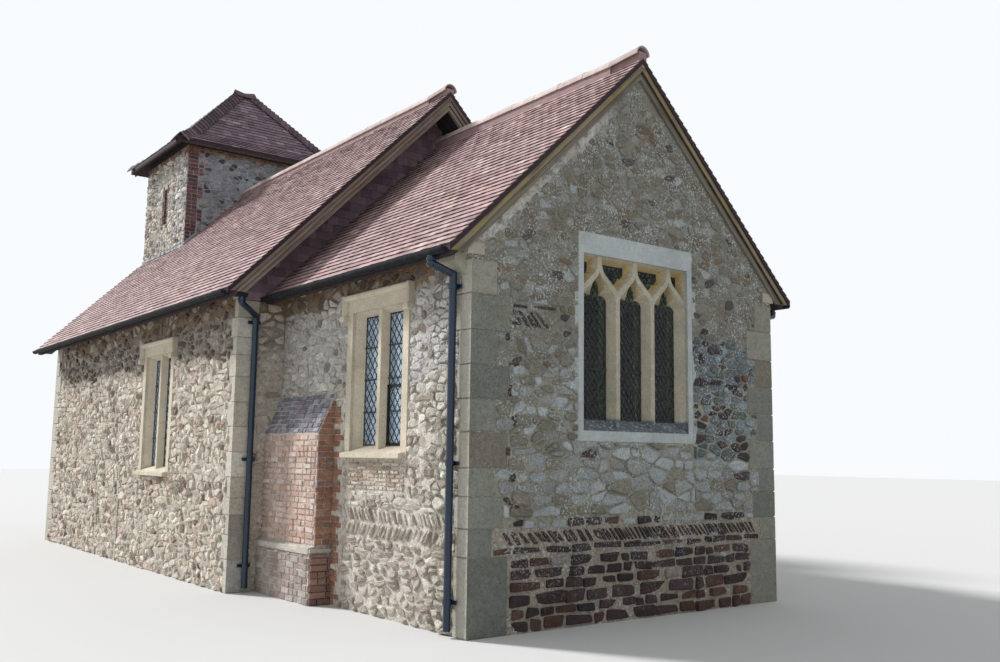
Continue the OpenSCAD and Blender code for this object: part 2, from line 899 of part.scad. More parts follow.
module nave_tile_hanging() {
    hang_gauge = 115;
    low_z = chancel_eave_z - 75;
    top_z = nave_z(0) - under;
    n = round((top_z - low_z) / hang_gauge);
    h = (top_z - low_z) / n;
    color(dark_tile_c)
        intersection() {
            across(y_nave - 2 * hang_t, y_nave)
                difference() {
                    intersection() {
                        gable_outline(nave_half, nave_z(0) - under, nave_z(nave_half) - under);
                        translate([-nave_half, low_z]) square([nave_w, top_z]);
                    }
                    translate([chancel_axis, 0])
                        polygon([
                            [-chancel_span, chancel_eave_z - 200], [chancel_span, chancel_eave_z - 200],
                            [chancel_span, chancel_eave_z], [0, chancel_z(0)], [-chancel_span, chancel_eave_z]
                        ]);
                }
            along(-nave_half, nave_half)
                translate([y_nave, low_z])
                    polygon(concat([[0, 0]], [
                        for (i = [0 : n - 1]) each [[-hang_t, i * h], [-hang_t + tile_step, (i + 1) * h]]
                    ], [[0, top_z - low_z]]));
        }
}

// Lead over the joints of roof and wall: on the chancel roof, and round the tower
module lead_flashings() {
    lead_t = 6;
    chancel_lead_w = 60;
    tower_lead_h = 80;
    color(lead_c) {
        across(y_nave - hang_t - chancel_lead_w, y_nave - hang_t)
            translate([chancel_axis, 0])
                difference() {
                    polygon([[-chancel_span, chancel_eave_z + lead_t], [0, chancel_z(0) + lead_t],
                        [chancel_span, chancel_eave_z + lead_t], [chancel_span, chancel_eave_z],
                        [0, chancel_z(0)], [-chancel_span, chancel_eave_z]]);
                    square([2 * ridge_r, 20000], center = true);
                }
        across(y_tower - 2 * lead_t, y_tower)
            intersection() {
                polygon([
                    [-nave_half, nave_z(nave_half) + tower_lead_h], [0, nave_z(0) + tower_lead_h],
                    [nave_half, nave_z(nave_half) + tower_lead_h], [nave_half, nave_z(nave_half)],
                    [0, nave_z(0)], [-nave_half, nave_z(nave_half)]
                ]);
                translate([tower_south, 0]) square([tower_w, 10000]);
                difference() {
                    translate([-nave_half, 0]) square([nave_w, 10000]);
                    translate([0, nave_z(0) + 15]) circle(ridge_r);
                }
            }
        for (s = [-1, 1]) {
            x = tower_axis + s * tower_half;
            box([min(x, x + s * 2 * lead_t), y_tower, nave_z(x) - 6],
                [max(x, x + s * 2 * lead_t), y_west + west_verge, nave_z(x) + tower_lead_h / 2]);
        }
    }
}

/* Bargeboards */

// Board that follows a verge between two depths under the tile surface, its feet cut level
module board_outline(span, eave_z, pitch, drop, foot_z) {
    top = tile_z(eave_z, span, pitch, 0);
    low = tile_z(eave_z, span, pitch, span);
    intersection() {
        polygon([
            [-span, low - drop[0]], [0, top - drop[0]], [span, low - drop[0]],
            [span, low - drop[1]], [0, top - drop[1]], [-span, low - drop[1]]
        ]);
        translate([-span, foot_z]) square([2 * span, top]);
    }
}

module chancel_bargeboards() {
    foot_z = chancel_eave_z - 45;
    color(oak_c)
        translate([chancel_axis, 0, 0]) {
            across(y_east - 65, y_east)
                board_outline(
                    chancel_span, chancel_eave_z, chancel_pitch, [tile_t, tile_t + chancel_board_h], foot_z
                );
            across(y_east - 35, y_east)
                board_outline(
                    chancel_span, chancel_eave_z, chancel_pitch,
                    [tile_t + chancel_board_h, tile_t + 2 * chancel_board_h], foot_z
                );
        }
}

// Undercloak, upper and lower board, each set back behind the one above
module nave_east_bargeboards() {
    edges = [tile_t, 132, 205, 275];
    foot_z = nave_eave_z - 28;
    front = y_nave - nave_verge;
    color(oak_c)
        for (i = [0 : 2])
            across(front + 4 + 16 * i, front + 90)
                board_outline(nave_span, nave_eave_z, nave_pitch, [edges[i], edges[i + 1]], foot_z);
}

module nave_west_bargeboards() {
    color(oak_c)
        difference() {
            across(y_west, y_west + 25)
                board_outline(nave_span, nave_eave_z, nave_pitch, [under, under + 150], nave_eave_z - 60);
            tower_block();
        }
}

/* Gutters and downpipes */

gutter_t = 5;

module gutter(y0, y1) {
    translate([0, y1, 0])
        rotate([90, 0, 0]) {
            linear_extrude(y1 - y0)
                difference() {
                    circle(gutter_r);
                    circle(gutter_r - gutter_t);
                    translate([-gutter_r - 1, 0]) square([2 * gutter_r + 2, gutter_r + 1]);
                }
            for (z = [0, y1 - y0 - gutter_t])
                translate([0, 0, z])
                    linear_extrude(gutter_t)
                        difference() {
                            circle(gutter_r);
                            translate([-gutter_r - 1, 0]) square([2 * gutter_r + 2, gutter_r + 1]);
                        }
        }
}

gutter_out = 20;
nave_gutter_x = nave_span + gutter_out;
chancel_gutter_x = chancel_span + gutter_out;
nave_gutter_z = nave_eave_z - 30;
chancel_gutter_z = chancel_eave_z - 30;

// Short gutter under the foot of the nave's east verge, with the outlet to its downpipe
return_y = y_nave - nave_verge + 90;
return_l = 300;
return_dip = 4;

module gutters(side) {
    color(iron_c) {
        translate([chancel_axis + side * chancel_gutter_x, 0, chancel_gutter_z])
            gutter(y_east - 30, y_nave - hang_t);
        translate([side * nave_gutter_x, 0, nave_gutter_z])
            gutter(return_y - gutter_r, y_west + 20);
        translate([side * nave_gutter_x, return_y, nave_gutter_z - return_dip])
            rotate([0, 0, 90 * side])
                gutter(gutter_r - 2 * gutter_t, return_l);
    }
}
module gutters_south() gutters(-1);
module gutters_north() gutters(1);

// Round pipe through the points of a path, with a ball at each bend
module pipe(path) {
    for (i = [0 : len(path) - 2]) {
        rod(path[i], path[i + 1], pipe_r);
        if (i > 0)
            translate(path[i]) sphere(pipe_r + 4);
    }
}

module collar(p, h = 60) {
    translate(p) cylinder(h = h, r = pipe_r + 8);
}

// Collar with a pair of ears against the wall: out points from the wall to the pipe
module bracket(p, out) {
    ear = pipe_r + 45;
    collar(p, 52);
    translate([p.x - out.x * (pipe_r + 4), p.y - out.y * (pipe_r + 4), p.z + 26])
        cube([out.x == 0 ? 2 * ear : 14, out.y == 0 ? 2 * ear : 14, 40], center = true);
}

// Pipe from an outlet through a swan neck and down a wall to a foot
module downpipe(top, foot) {
    neck = [70, 150];
    pipe([
        top, top - [0, 0, neck[0]],
        [foot.x, foot.y, top.z - neck[1]], [foot.x, foot.y, 60]
    ]);
    collar(top - [0, 0, 50], 30);
}

module downpipes(side) {
    pipe_out = 75;
    outlet_drop = gutter_r - 2;
    chancel_x = chancel_axis + side * (chancel_half + pipe_out);
    chancel_top = [chancel_axis + side * chancel_gutter_x, y_east + 210, chancel_gutter_z - outlet_drop];
    nave_x = side * (nave_half - 200);
    nave_y = y_nave - pipe_out;
    nave_top = [side * (nave_gutter_x - return_l + 60), return_y, nave_gutter_z - outlet_drop];
    color(iron_c) {
        downpipe(chancel_top, [chancel_x, chancel_top.y]);
        downpipe(nave_top, [nave_x, nave_y]);
        for (z = [3300, 1590, 300]) {
            bracket([chancel_x, chancel_top.y, z], [side, 0]);
            bracket([nave_x, nave_y, z], [0, -1]);
        }
    }
}
module downpipes_south() downpipes(-1);
module downpipes_north() downpipes(1);

chancel_east_wall();
chancel_south_wall();
chancel_north_wall();
nave_east_wall();
nave_south_wall();
nave_north_wall();
nave_west_wall();
tower_east_wall();
tower_south_wall();
tower_north_wall();
tower_west_wall();
stone_floor();
brick_buttress();
kneeler_stones();
east_window_tracery();
east_window_glazing();
chancel_south_window();
chancel_north_window();
nave_south_window();
nave_north_window();
side_window_glazing();
west_door_surround();
west_door();
chancel_roof_deck();
nave_roof_deck();
tower_roof_deck();
chancel_tiles_south();
chancel_tiles_north();
nave_tiles_south();
nave_tiles_north();
tower_tiles();
chancel_ridge_tiles();
nave_ridge_tiles();
tower_hip_tiles();
nave_tile_hanging();
lead_flashings();
chancel_bargeboards();
nave_east_bargeboards();
nave_west_bargeboards();
gutters_south();
gutters_north();
downpipes_south();
downpipes_north();
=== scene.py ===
"""Looks of a small stone chapel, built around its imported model."""
import bmesh
import bpy
import math
import random
from collections import namedtuple
from mathutils import Matrix, Vector


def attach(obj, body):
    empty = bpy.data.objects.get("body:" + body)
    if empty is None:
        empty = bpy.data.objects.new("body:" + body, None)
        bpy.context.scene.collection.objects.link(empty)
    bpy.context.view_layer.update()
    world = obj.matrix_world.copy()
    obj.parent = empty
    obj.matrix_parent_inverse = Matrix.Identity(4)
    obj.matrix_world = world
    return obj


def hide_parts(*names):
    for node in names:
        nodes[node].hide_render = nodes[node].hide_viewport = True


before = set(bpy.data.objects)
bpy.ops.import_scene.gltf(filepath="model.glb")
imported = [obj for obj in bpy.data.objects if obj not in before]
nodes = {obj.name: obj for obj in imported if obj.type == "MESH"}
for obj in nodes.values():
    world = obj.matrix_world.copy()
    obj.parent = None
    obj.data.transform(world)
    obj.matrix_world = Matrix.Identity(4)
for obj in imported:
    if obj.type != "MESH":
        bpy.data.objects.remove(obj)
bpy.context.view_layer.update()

# Faces, centre lines and half widths of the three blocks, in metres
EAST, NAVE, TOWER, WEST = -6.6, -2.5, 4.04, 6.4
AXIS, TOWER_AXIS = 0.19, 0.34
CH, NH, TH = 2.3, 2.75, 1.55
CH_TAN, NAVE_TAN = math.tan(math.radians(44)), math.tan(math.radians(45.4))
# Centre line, half span to the eaves, height of the eaves and slope
CHANCEL_ROOF, NAVE_ROOF = (AXIS, CH + 0.32, 3.68, CH_TAN), (0.0, NH + 0.40, 3.64, NAVE_TAN)
# Where the tiles begin over the chancel's and the nave's gable, and the bed of the hung tiles
CH_VERGE, VERGE, HUNG = EAST - 0.08, NAVE - 0.6, NAVE - 0.06
SIDES = ("south", -1), ("north", 1)
EAST_WINDOW, CH_WINDOW, NAVE_WINDOW = 0.16, EAST + 1.74, EAST + 6.96
BUTTRESS = NAVE - 1.43
# Half width, foot and top of the east window's opening, with its stones
EAST_HALF, EAST_LOW, EAST_HIGH = 0.885, 1.86, 4.08
# Width of a tile with its joints, and the joint; the depth of a stone in the mortar
TILE, GAP, BURIED = 0.165, 0.0015, -0.012

# Colours of stones, bricks and tiles, each a list of (weight, colour)
PALE = [(4, (0.61, 0.555, 0.48)), (3, (0.69, 0.645, 0.57)), (2, (0.52, 0.46, 0.385)),
        (1.3, (0.58, 0.465, 0.40)), (0.9, (0.42, 0.38, 0.34)), (0.5, (0.30, 0.22, 0.18)),
        (0.3, (0.22, 0.19, 0.18))]
BRIGHT = [(4, (0.58, 0.545, 0.49)), (3, (0.66, 0.635, 0.585)), (2.5, (0.49, 0.445, 0.39)),
          (1.4, (0.39, 0.34, 0.295))]
UPPER = [(3, (0.20, 0.165, 0.14)), (3, (0.12, 0.095, 0.09)), (2, (0.31, 0.27, 0.235)),
         (2.5, (0.40, 0.37, 0.33))]
WHITE = [(4, (0.32, 0.355, 0.365)), (3, (0.27, 0.285, 0.28)), (2, (0.39, 0.43, 0.445)),
         (1.6, (0.215, 0.205, 0.165)), (0.4, (0.08, 0.06, 0.06))]
OCHRE = [(5, (0.205, 0.200, 0.172)), (3, (0.175, 0.160, 0.130)), (2.0, (0.245, 0.250, 0.238)),
         (1.0, (0.165, 0.128, 0.092)), (0.6, (0.085, 0.075, 0.070)), (0.6, (0.30, 0.32, 0.33))]
BLUISH = [(3, (0.135, 0.175, 0.20)), (2, (0.215, 0.28, 0.33)), (2, (0.10, 0.125, 0.13)),
          (2.4, (0.060, 0.052, 0.055)), (0.4, (0.14, 0.09, 0.07))]
IRON = [(5, (0.062, 0.042, 0.043)), (4, (0.046, 0.036, 0.038)), (2, (0.088, 0.052, 0.044)),
        (0.5, (0.20, 0.19, 0.18))]
SLABS = [(4, (0.44, 0.395, 0.345)), (3, (0.52, 0.475, 0.42)), (2, (0.35, 0.295, 0.26)),
         (1.5, (0.59, 0.55, 0.495))]
LILAC = [(4, (0.49, 0.475, 0.46)), (3, (0.55, 0.54, 0.53)), (2, (0.43, 0.41, 0.39)),
         (0.6, (0.27, 0.22, 0.20))]
BUFF = [(4, (0.47, 0.43, 0.375)), (2, (0.55, 0.515, 0.46)), (1, (0.30, 0.25, 0.215)),
        (1, (0.58, 0.565, 0.53))]
SLATE = [(4, (0.255, 0.275, 0.31)), (3, (0.305, 0.32, 0.345)), (1.5, (0.36, 0.37, 0.385)),
         (1.3, (0.09, 0.085, 0.10)), (0.5, (0.26, 0.20, 0.16))]
GREY = [(4, (0.38, 0.37, 0.35)), (3, (0.46, 0.45, 0.43)), (2, (0.30, 0.28, 0.26)), (0.8, (0.20, 0.17, 0.15))]
PLAIN = [(4, (0.29, 0.27, 0.235)), (3, (0.35, 0.33, 0.295)), (2, (0.22, 0.195, 0.165)),
         (0.8, (0.13, 0.11, 0.10)), (0.7, (0.28, 0.215, 0.17))]
BRICK = [(4, (0.54, 0.385, 0.325)), (3, (0.60, 0.455, 0.40)), (2, (0.48, 0.325, 0.265)),
         (1, (0.63, 0.53, 0.48))]
RED = [(4, (0.33, 0.165, 0.105)), (3, (0.29, 0.14, 0.095)), (2, (0.37, 0.205, 0.135)),
       (1.2, (0.24, 0.14, 0.115))]
DEEP = [(4, (0.125, 0.060, 0.058)), (3, (0.17, 0.082, 0.074)), (2, (0.085, 0.050, 0.052))]
DULL = [(3, (0.23, 0.135, 0.115)), (2, (0.29, 0.17, 0.135)), (1, (0.19, 0.12, 0.11))]
HEAD = [(3, (0.20, 0.195, 0.245)), (3, (0.25, 0.245, 0.295)), (1.6, (0.35, 0.35, 0.40)),
        (0.8, (0.22, 0.18, 0.20))]
WASH = [(4, (0.35, 0.29, 0.27)), (2, (0.31, 0.24, 0.22)), (2, (0.41, 0.37, 0.35))]
COURSES = [(3, (0.50, 0.40, 0.33)), (3, (0.58, 0.53, 0.46)), (1, (0.40, 0.29, 0.23))]
ASHLAR = [(3, (0.205, 0.213, 0.188)), (2, (0.160, 0.170, 0.152)), (1.2, (0.255, 0.255, 0.222)),
          (0.8, (0.205, 0.190, 0.158))]
CREAM = [(3, (0.48, 0.45, 0.39)), (2, (0.42, 0.39, 0.33)), (1, (0.54, 0.52, 0.47))]
CLAY = [(6, (0.360, 0.250, 0.255)), (3, (0.420, 0.298, 0.298)), (2, (0.297, 0.200, 0.208)),
        (0.8, (0.48, 0.375, 0.37)), (0.5, (0.42, 0.275, 0.245))]
DARK = [(5, (0.185, 0.131, 0.162)), (3, (0.225, 0.163, 0.195)), (2, (0.145, 0.108, 0.138)),
        (0.6, (0.30, 0.225, 0.245))]
BONNET = [(3, (0.085, 0.062, 0.075)), (2, (0.12, 0.085, 0.098)), (1, (0.065, 0.050, 0.060))]
RIDGE = [(3, (0.44, 0.365, 0.35)), (2, (0.50, 0.43, 0.41)), (1, (0.37, 0.30, 0.285))]
# Lead for cames and bars; the ridge tiles' mortar bed, coloured like the roof tiles and darkened as painted
# shade under them.
LEAD, SHADED_BED = (0.045, 0.048, 0.052), (0.26, 0.18, 0.18)


def roof_z(roof, x):
    """Height of the tile surface of a roof over a point across the building."""
    axis, span, eave, tan = roof
    return eave + (span - abs(x - axis)) * tan


# Meshes

class Builder:
    """Collects closed shells with a colour on each face and joins them into one piece."""

    def __init__(self, rng=None):
        self.rng = rng
        self.verts, self.faces, self.tints = [], [], []

    def pick(self, palette, spread=0.12):
        """One colour of a palette of (weight, colour), lighter or darker by chance."""
        at = self.rng.uniform(0, sum(weight for weight, _ in palette))
        for weight, colour in palette:
            at -= weight
            if at <= 0:
                break
        k = 1 + self.rng.uniform(-spread, spread)
        return tuple(min(1.0, c * k) for c in colour)

    def add(self, points, faces, tint):
        base = len(self.verts)
        self.verts.extend(points)
        for k, face in enumerate(faces):
            self.faces.append([base + i for i in face])
            self.tints.append(tint[k] if isinstance(tint, list) else tint)

    def rings(self, rings, tint, tip=None):
        """A shell through rings of as many points each, closed by flat ends or by a tip on the last one."""
        n = len(rings[0])
        faces = [tuple(range(n - 1, -1, -1))]
        for k in range(len(rings) - 1):
            for i in range(n):
                j = (i + 1) % n
                faces.append((k * n + i, k * n + j, (k + 1) * n + j, (k + 1) * n + i))
        last = (len(rings) - 1) * n
        points = [p for ring in rings for p in ring]
        if tip is None:
            faces.append(tuple(range(last, last + n)))
        else:
            points.append(tip)
            faces += [(last + i, last + (i + 1) % n, last + n) for i in range(n)]
        self.add(points, faces, tint)

    def build(self, name, material, slot, replaced=()):
        mesh = bpy.data.meshes.new(name)
        mesh.from_pydata([tuple(p) for p in self.verts], [], self.faces)
        layer = mesh.color_attributes.new("tint", "FLOAT_COLOR", "CORNER")
        values = []
        for face, tint in zip(self.faces, self.tints):
            values.extend((*tint, 1.0) * len(face))
        layer.data.foreach_set("color", values)
        shells = bmesh.new()
        shells.from_mesh(mesh)
        bmesh.ops.recalc_face_normals(shells, faces=shells.faces)
        shells.to_mesh(mesh)
        shells.free()
        mesh.materials.append(material)
        piece = bpy.data.objects.new(name, mesh)
        bpy.context.collection.objects.link(piece)
        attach(piece, "root")
        if replaced:
            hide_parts(*replaced)


# Outlines in a wall's plane: u runs to the right for someone facing the wall, v runs up

def between(a, b, t):
    return a[0] + (b[0] - a[0]) * t, a[1] + (b[1] - a[1]) * t


def clip(poly, nx, ny, d):
    """The part of a convex outline where nx*u + ny*v <= d."""
    out = []
    for i, a in enumerate(poly):
        b = poly[(i + 1) % len(poly)]
        da, db = nx * a[0] + ny * a[1] - d, nx * b[0] + ny * b[1] - d
        if da <= 0:
            out.append(a)
        if (da < 0 < db) or (db < 0 < da):
            out.append(between(a, b, da / (da - db)))
    return out


def clip_to(poly, edges):
    for edge in edges:
        if len(poly) < 3:
            return []
        poly = clip(poly, *edge)
    return poly if len(poly) > 2 else []


def edges_of(poly):
    """Outward half planes of a convex outline given counter-clockwise."""
    out = []
    for i, a in enumerate(poly):
        b = poly[(i + 1) % len(poly)]
        length = math.dist(a, b)
        nx, ny = (b[1] - a[1]) / length, -(b[0] - a[0]) / length
        out.append((nx, ny, nx * a[0] + ny * a[1]))
    return out


def area(poly):
    return sum(a[0] * b[1] - b[0] * a[1] for a, b in zip(poly, poly[1:] + poly[:1])) / 2


def spans(poly):
    """Least and greatest u, then least and greatest v."""
    us, vs = zip(*poly)
    return min(us), max(us), min(vs), max(vs)


def rect(u0, v0, u1, v1):
    return [(u0, v0), (u1, v0), (u1, v1), (u0, v1)]


def gable(axis, half, shoulder, tan):
    left, right = axis - half, axis + half
    return [(left, 0), (right, 0), (right, shoulder), (axis, shoulder + half * tan), (left, shoulder)]


def facing(side, at):
    """Maps (u, v, out of the wall) to a point."""
    if side == "east":
        return lambda u, v, w: Vector((u, at - w, v))
    if side == "west":
        return lambda u, v, w: Vector((-u, at + w, v))
    if side == "south":
        return lambda u, v, w: Vector((at - w, -u, v))
    return lambda u, v, w: Vector((at + w, u, v))


def upright(a, b, low, high):
    """A box between two places along a wall, given in either order."""
    return rect(min(a, b), low, max(a, b), high)


def strip(side, y0, y1, low, high):
    """A box on a north or south wall between two places along the building."""
    sign = -1 if side == "south" else 1
    return upright(sign * y0, sign * y1, low, high)


# Masonry

# A belt of masonry: its heights, the size of its stones, the joint, how far they stand out, their colours,
# how much they stray, the share left out, level courses or not, and the form and the lean of a stone
Zone = namedtuple("Zone", "low high size gap proud palette jitter drop coursed facets lean",
                  defaults=(0.42, 0.12, False, 1, 0.16))


def wander(u):
    """How far the border between two zones strays from its height."""
    return 0.05 * math.sin(2.1 * u + 0.7) + 0.035 * math.sin(5.3 * u) + 0.02 * math.sin(11.0 * u)


def seeds_of(rng, zones, u0, u1):
    seeds = []
    for z in zones:
        su, sv = z.size
        v = z.low - 0.1
        while v < z.high + 0.1:
            u = u0 - su * rng.uniform(0, 1)
            while u < u1 + su:
                pu = u + rng.uniform(-z.jitter, z.jitter) * su
                pv = v + rng.uniform(-z.jitter, z.jitter) * (0.3 if z.coursed else 1) * sv
                if rng.random() >= z.drop and z.low + wander(pu) <= pv < z.high + wander(pu):
                    seeds.append((pu, pv, rng.uniform(0, 0.35) * sv * sv, z))
                u += su
            v += sv
    return seeds


def masonry(builder, place, region, holes, zones, squash=0.34):
    """Fills a convex region outside its holes with stones that share their joints."""
    region_edges = edges_of(region)
    hole_edges = [(edges_of(h), *spans(h)) for h in holes]
    seeds = seeds_of(builder.rng, zones, *spans(region)[:2])
    cell_u, cell_v = max(z.size[0] for z in zones), max(z.size[1] for z in zones)
    grid = {}
    for seed in seeds:
        grid.setdefault((seed[0] // cell_u, seed[1] // cell_v), []).append(seed)
    for seed in seeds:
        u, v, bulk, z = seed
        (su, sv), gap = z.size, z.gap
        if any(nx * u + ny * v > d + sv for nx, ny, d in region_edges):
            continue
        c, r = u // cell_u, v // cell_v
        near = [q for i in range(-2, 3) for j in range(-2, 3)
                for q in grid.get((c + i, r + j), ()) if q is not seed]
        near.sort(key=lambda q: squash * (q[0] - u) ** 2 + (q[1] - v) ** 2)
        poly = rect(u - 1.6 * su, v - 1.6 * sv, u + 1.6 * su, v + 1.6 * sv)
        for qu, qv, other, _ in near[:14]:
            nx, ny = squash * (qu - u), qv - v
            d = (squash * (qu ** 2 - u ** 2) + qv ** 2 - v ** 2 + bulk - other) / 2
            poly = clip(poly, nx, ny, d - gap / 2 * math.hypot(nx, ny))
            if len(poly) < 3:
                break
        poly = clip_to(poly, [(nx, ny, d - gap / 2) for nx, ny, d in region_edges])
        for edges, u0, u1, v0, v1 in hole_edges:
            if not poly:
                break
            if u < u0 - 2 * su or u > u1 + 2 * su or v < v0 - 2 * sv or v > v1 + 2 * sv:
                continue
            if all(any(nx * a[0] + ny * a[1] < d for a in poly) for nx, ny, d in edges):
                nx, ny, d = max(edges, key=lambda e: e[0] * u + e[1] * v - e[2])
                poly = clip_to(poly, [(-nx, -ny, -d - gap / 2)])
        if len(poly) > 2 and area(poly) > 0.16 * su * sv:
            proud, tint = builder.rng.uniform(*z.proud), builder.pick(z.palette)
            stone(builder, poly, place, proud, tint, z.facets, z.lean)


def stone(builder, poly, place, proud, tint, facets, lean=0.16, blunt=1.0):
    """A rough stone on an outline: skirt in the mortar, broken shoulder, worn top."""
    rng = builder.rng
    pts = poly
    if facets > 1:
        pts = []
        for i, b in enumerate(poly):
            a, c = poly[i - 1], poly[(i + 1) % len(poly)]
            la, lc = math.dist(a, b), math.dist(b, c)
            if min(la, lc) < 0.012:
                pts.append(b)
                continue
            ta, tc = (blunt * rng.uniform(0.12, 0.30) * min(1, 1.6 * k) for k in (lc / la, la / lc))
            pts += [between(b, a, ta), between(b, c, tc)]
    cu, cv = (sum(c) / len(pts) for c in zip(*pts))
    lean_u, lean_v = rng.uniform(-lean, lean), rng.uniform(-lean, lean)

    def ring(scale, low, high, wobble):
        out = []
        for p in pts:
            s = scale * rng.uniform(1 - wobble, 1)
            du, dv = (p[0] - cu) * s, (p[1] - cv) * s
            out.append(place(cu + du, cv + dv, rng.uniform(low, high) * proud + lean_u * du + lean_v * dv))
        return out

    skirt = [place(*p, BURIED) for p in pts]
    if facets == 1:
        rings = [skirt, ring(0.90, 0.5, 1.1, 0.25)]
    else:
        rings = [skirt, ring(0.97, 0.35, 0.75, 0.05), ring(0.74, 0.75, 1.2, 0.2)]
    tip = place(cu + rng.uniform(-0.2, 0.2) * (pts[0][0] - cu), cv, proud * rng.uniform(0.8, 1.2))
    builder.rings(rings, tint, tip)


def dressed(builder, poly, place, proud, tint):
    """A squared block or brick with slightly worn edges on an outline."""
    rng, edge, middle = builder.rng, 0.004, tuple(sum(c) / len(poly) for c in zip(*poly))
    pull = [min(0.4, 1.5 * edge / math.dist(p, middle)) * rng.uniform(0.7, 1.6) for p in poly]
    level = [proud + rng.uniform(-0.0025, 0.0025) for _ in poly]
    inner = [between(p, middle, t) for p, t in zip(poly, pull)]
    builder.rings([[place(*p, BURIED) for p in poly],
                   [place(*p, h - edge) for p, h in zip(poly, level)],
                   [place(*p, h) for p, h in zip(inner, level)]], tint)


def bar(builder, place, outline, low, high, tint=LEAD):
    """A flat bar over an outline, between two distances out of the wall."""
    builder.rings([[place(*p, w) for p in outline] for w in (low, high)], tint)


def bricks(builder, place, region, size=(0.215, 0.075), proud=(0.002, 0.009), palette=BRICK,
           joint=0.010, half=0.45):
    """Brickwork of stretchers and headers over a convex region."""
    rng = builder.rng
    edges = edges_of(region)
    (u0, u1, v, top), row = spans(region), 0
    while v < top - 0.02:
        u = u0 - (0.5 * size[0] if row % 2 else 0) + rng.uniform(-0.01, 0.01)
        while u < u1:
            width = size[0] * (0.5 if rng.random() < half else 1)
            poly = rect(u + joint / 2, v + joint / 2, u + width - joint / 2, v + size[1] - joint / 2)
            poly = clip_to(poly, [(nx, ny, d - 0.003) for nx, ny, d in edges])
            if poly and area(poly) > 0.0012:
                dressed(builder, poly, place, rng.uniform(*proud), builder.pick(palette))
            u += width
        v += size[1]
        row += 1


def coursed(builder, place, region, pitch, length, joint, palette, proud):
    """Level courses of roughly squared stones over a box, with wide joints."""
    rng = builder.rng
    u0, v, u1, v1 = region[0][0], region[0][1], region[1][0], region[2][1]
    while v < v1 - 0.04:
        high = min(pitch * rng.uniform(0.85, 1.15), v1 - v)
        u = u0 + rng.uniform(0, 0.05)
        while u < u1 - 0.05:
            wide = min(rng.uniform(*length), u1 - u)
            if wide > 0.06:
                a, c, d, e = (rng.uniform(-0.016, 0.016) for _ in range(4))
                gap = joint * rng.uniform(0.7, 1.4)
                poly = [(u + a * 0.4, v + gap / 2 + a), (u + wide - gap + c, v + gap / 2 + c),
                        (u + wide - gap + d, v + high - gap / 2 + d), (u + e, v + high - gap / 2 + e)]
                stone(builder, poly, place, rng.uniform(*proud), builder.pick(palette, 0.25), 2, 0.20, 0.5)
            u += wide
        v += high


def leaning(builder, place, region, pitch, lean, palette, proud):
    """A band of thin stones that all lean one way."""
    rng = builder.rng
    u, v0, u1, v1 = region[0][0], region[0][1], region[1][0], region[2][1]
    while u < u1:
        t, cut = pitch * rng.uniform(0.45, 0.7), rng.uniform(0, 0.025)
        k = lean * (v1 - v0) * rng.uniform(0.85, 1.15)
        poly = [(u, v0 + cut), (u + t, v0 + cut), (u + t + k, v1 - cut / 2), (u + k, v1 - cut / 2)]
        stone(builder, poly, place, rng.uniform(*proud), builder.pick(palette), 2)
        u += pitch * rng.uniform(0.8, 1.25)


# Materials

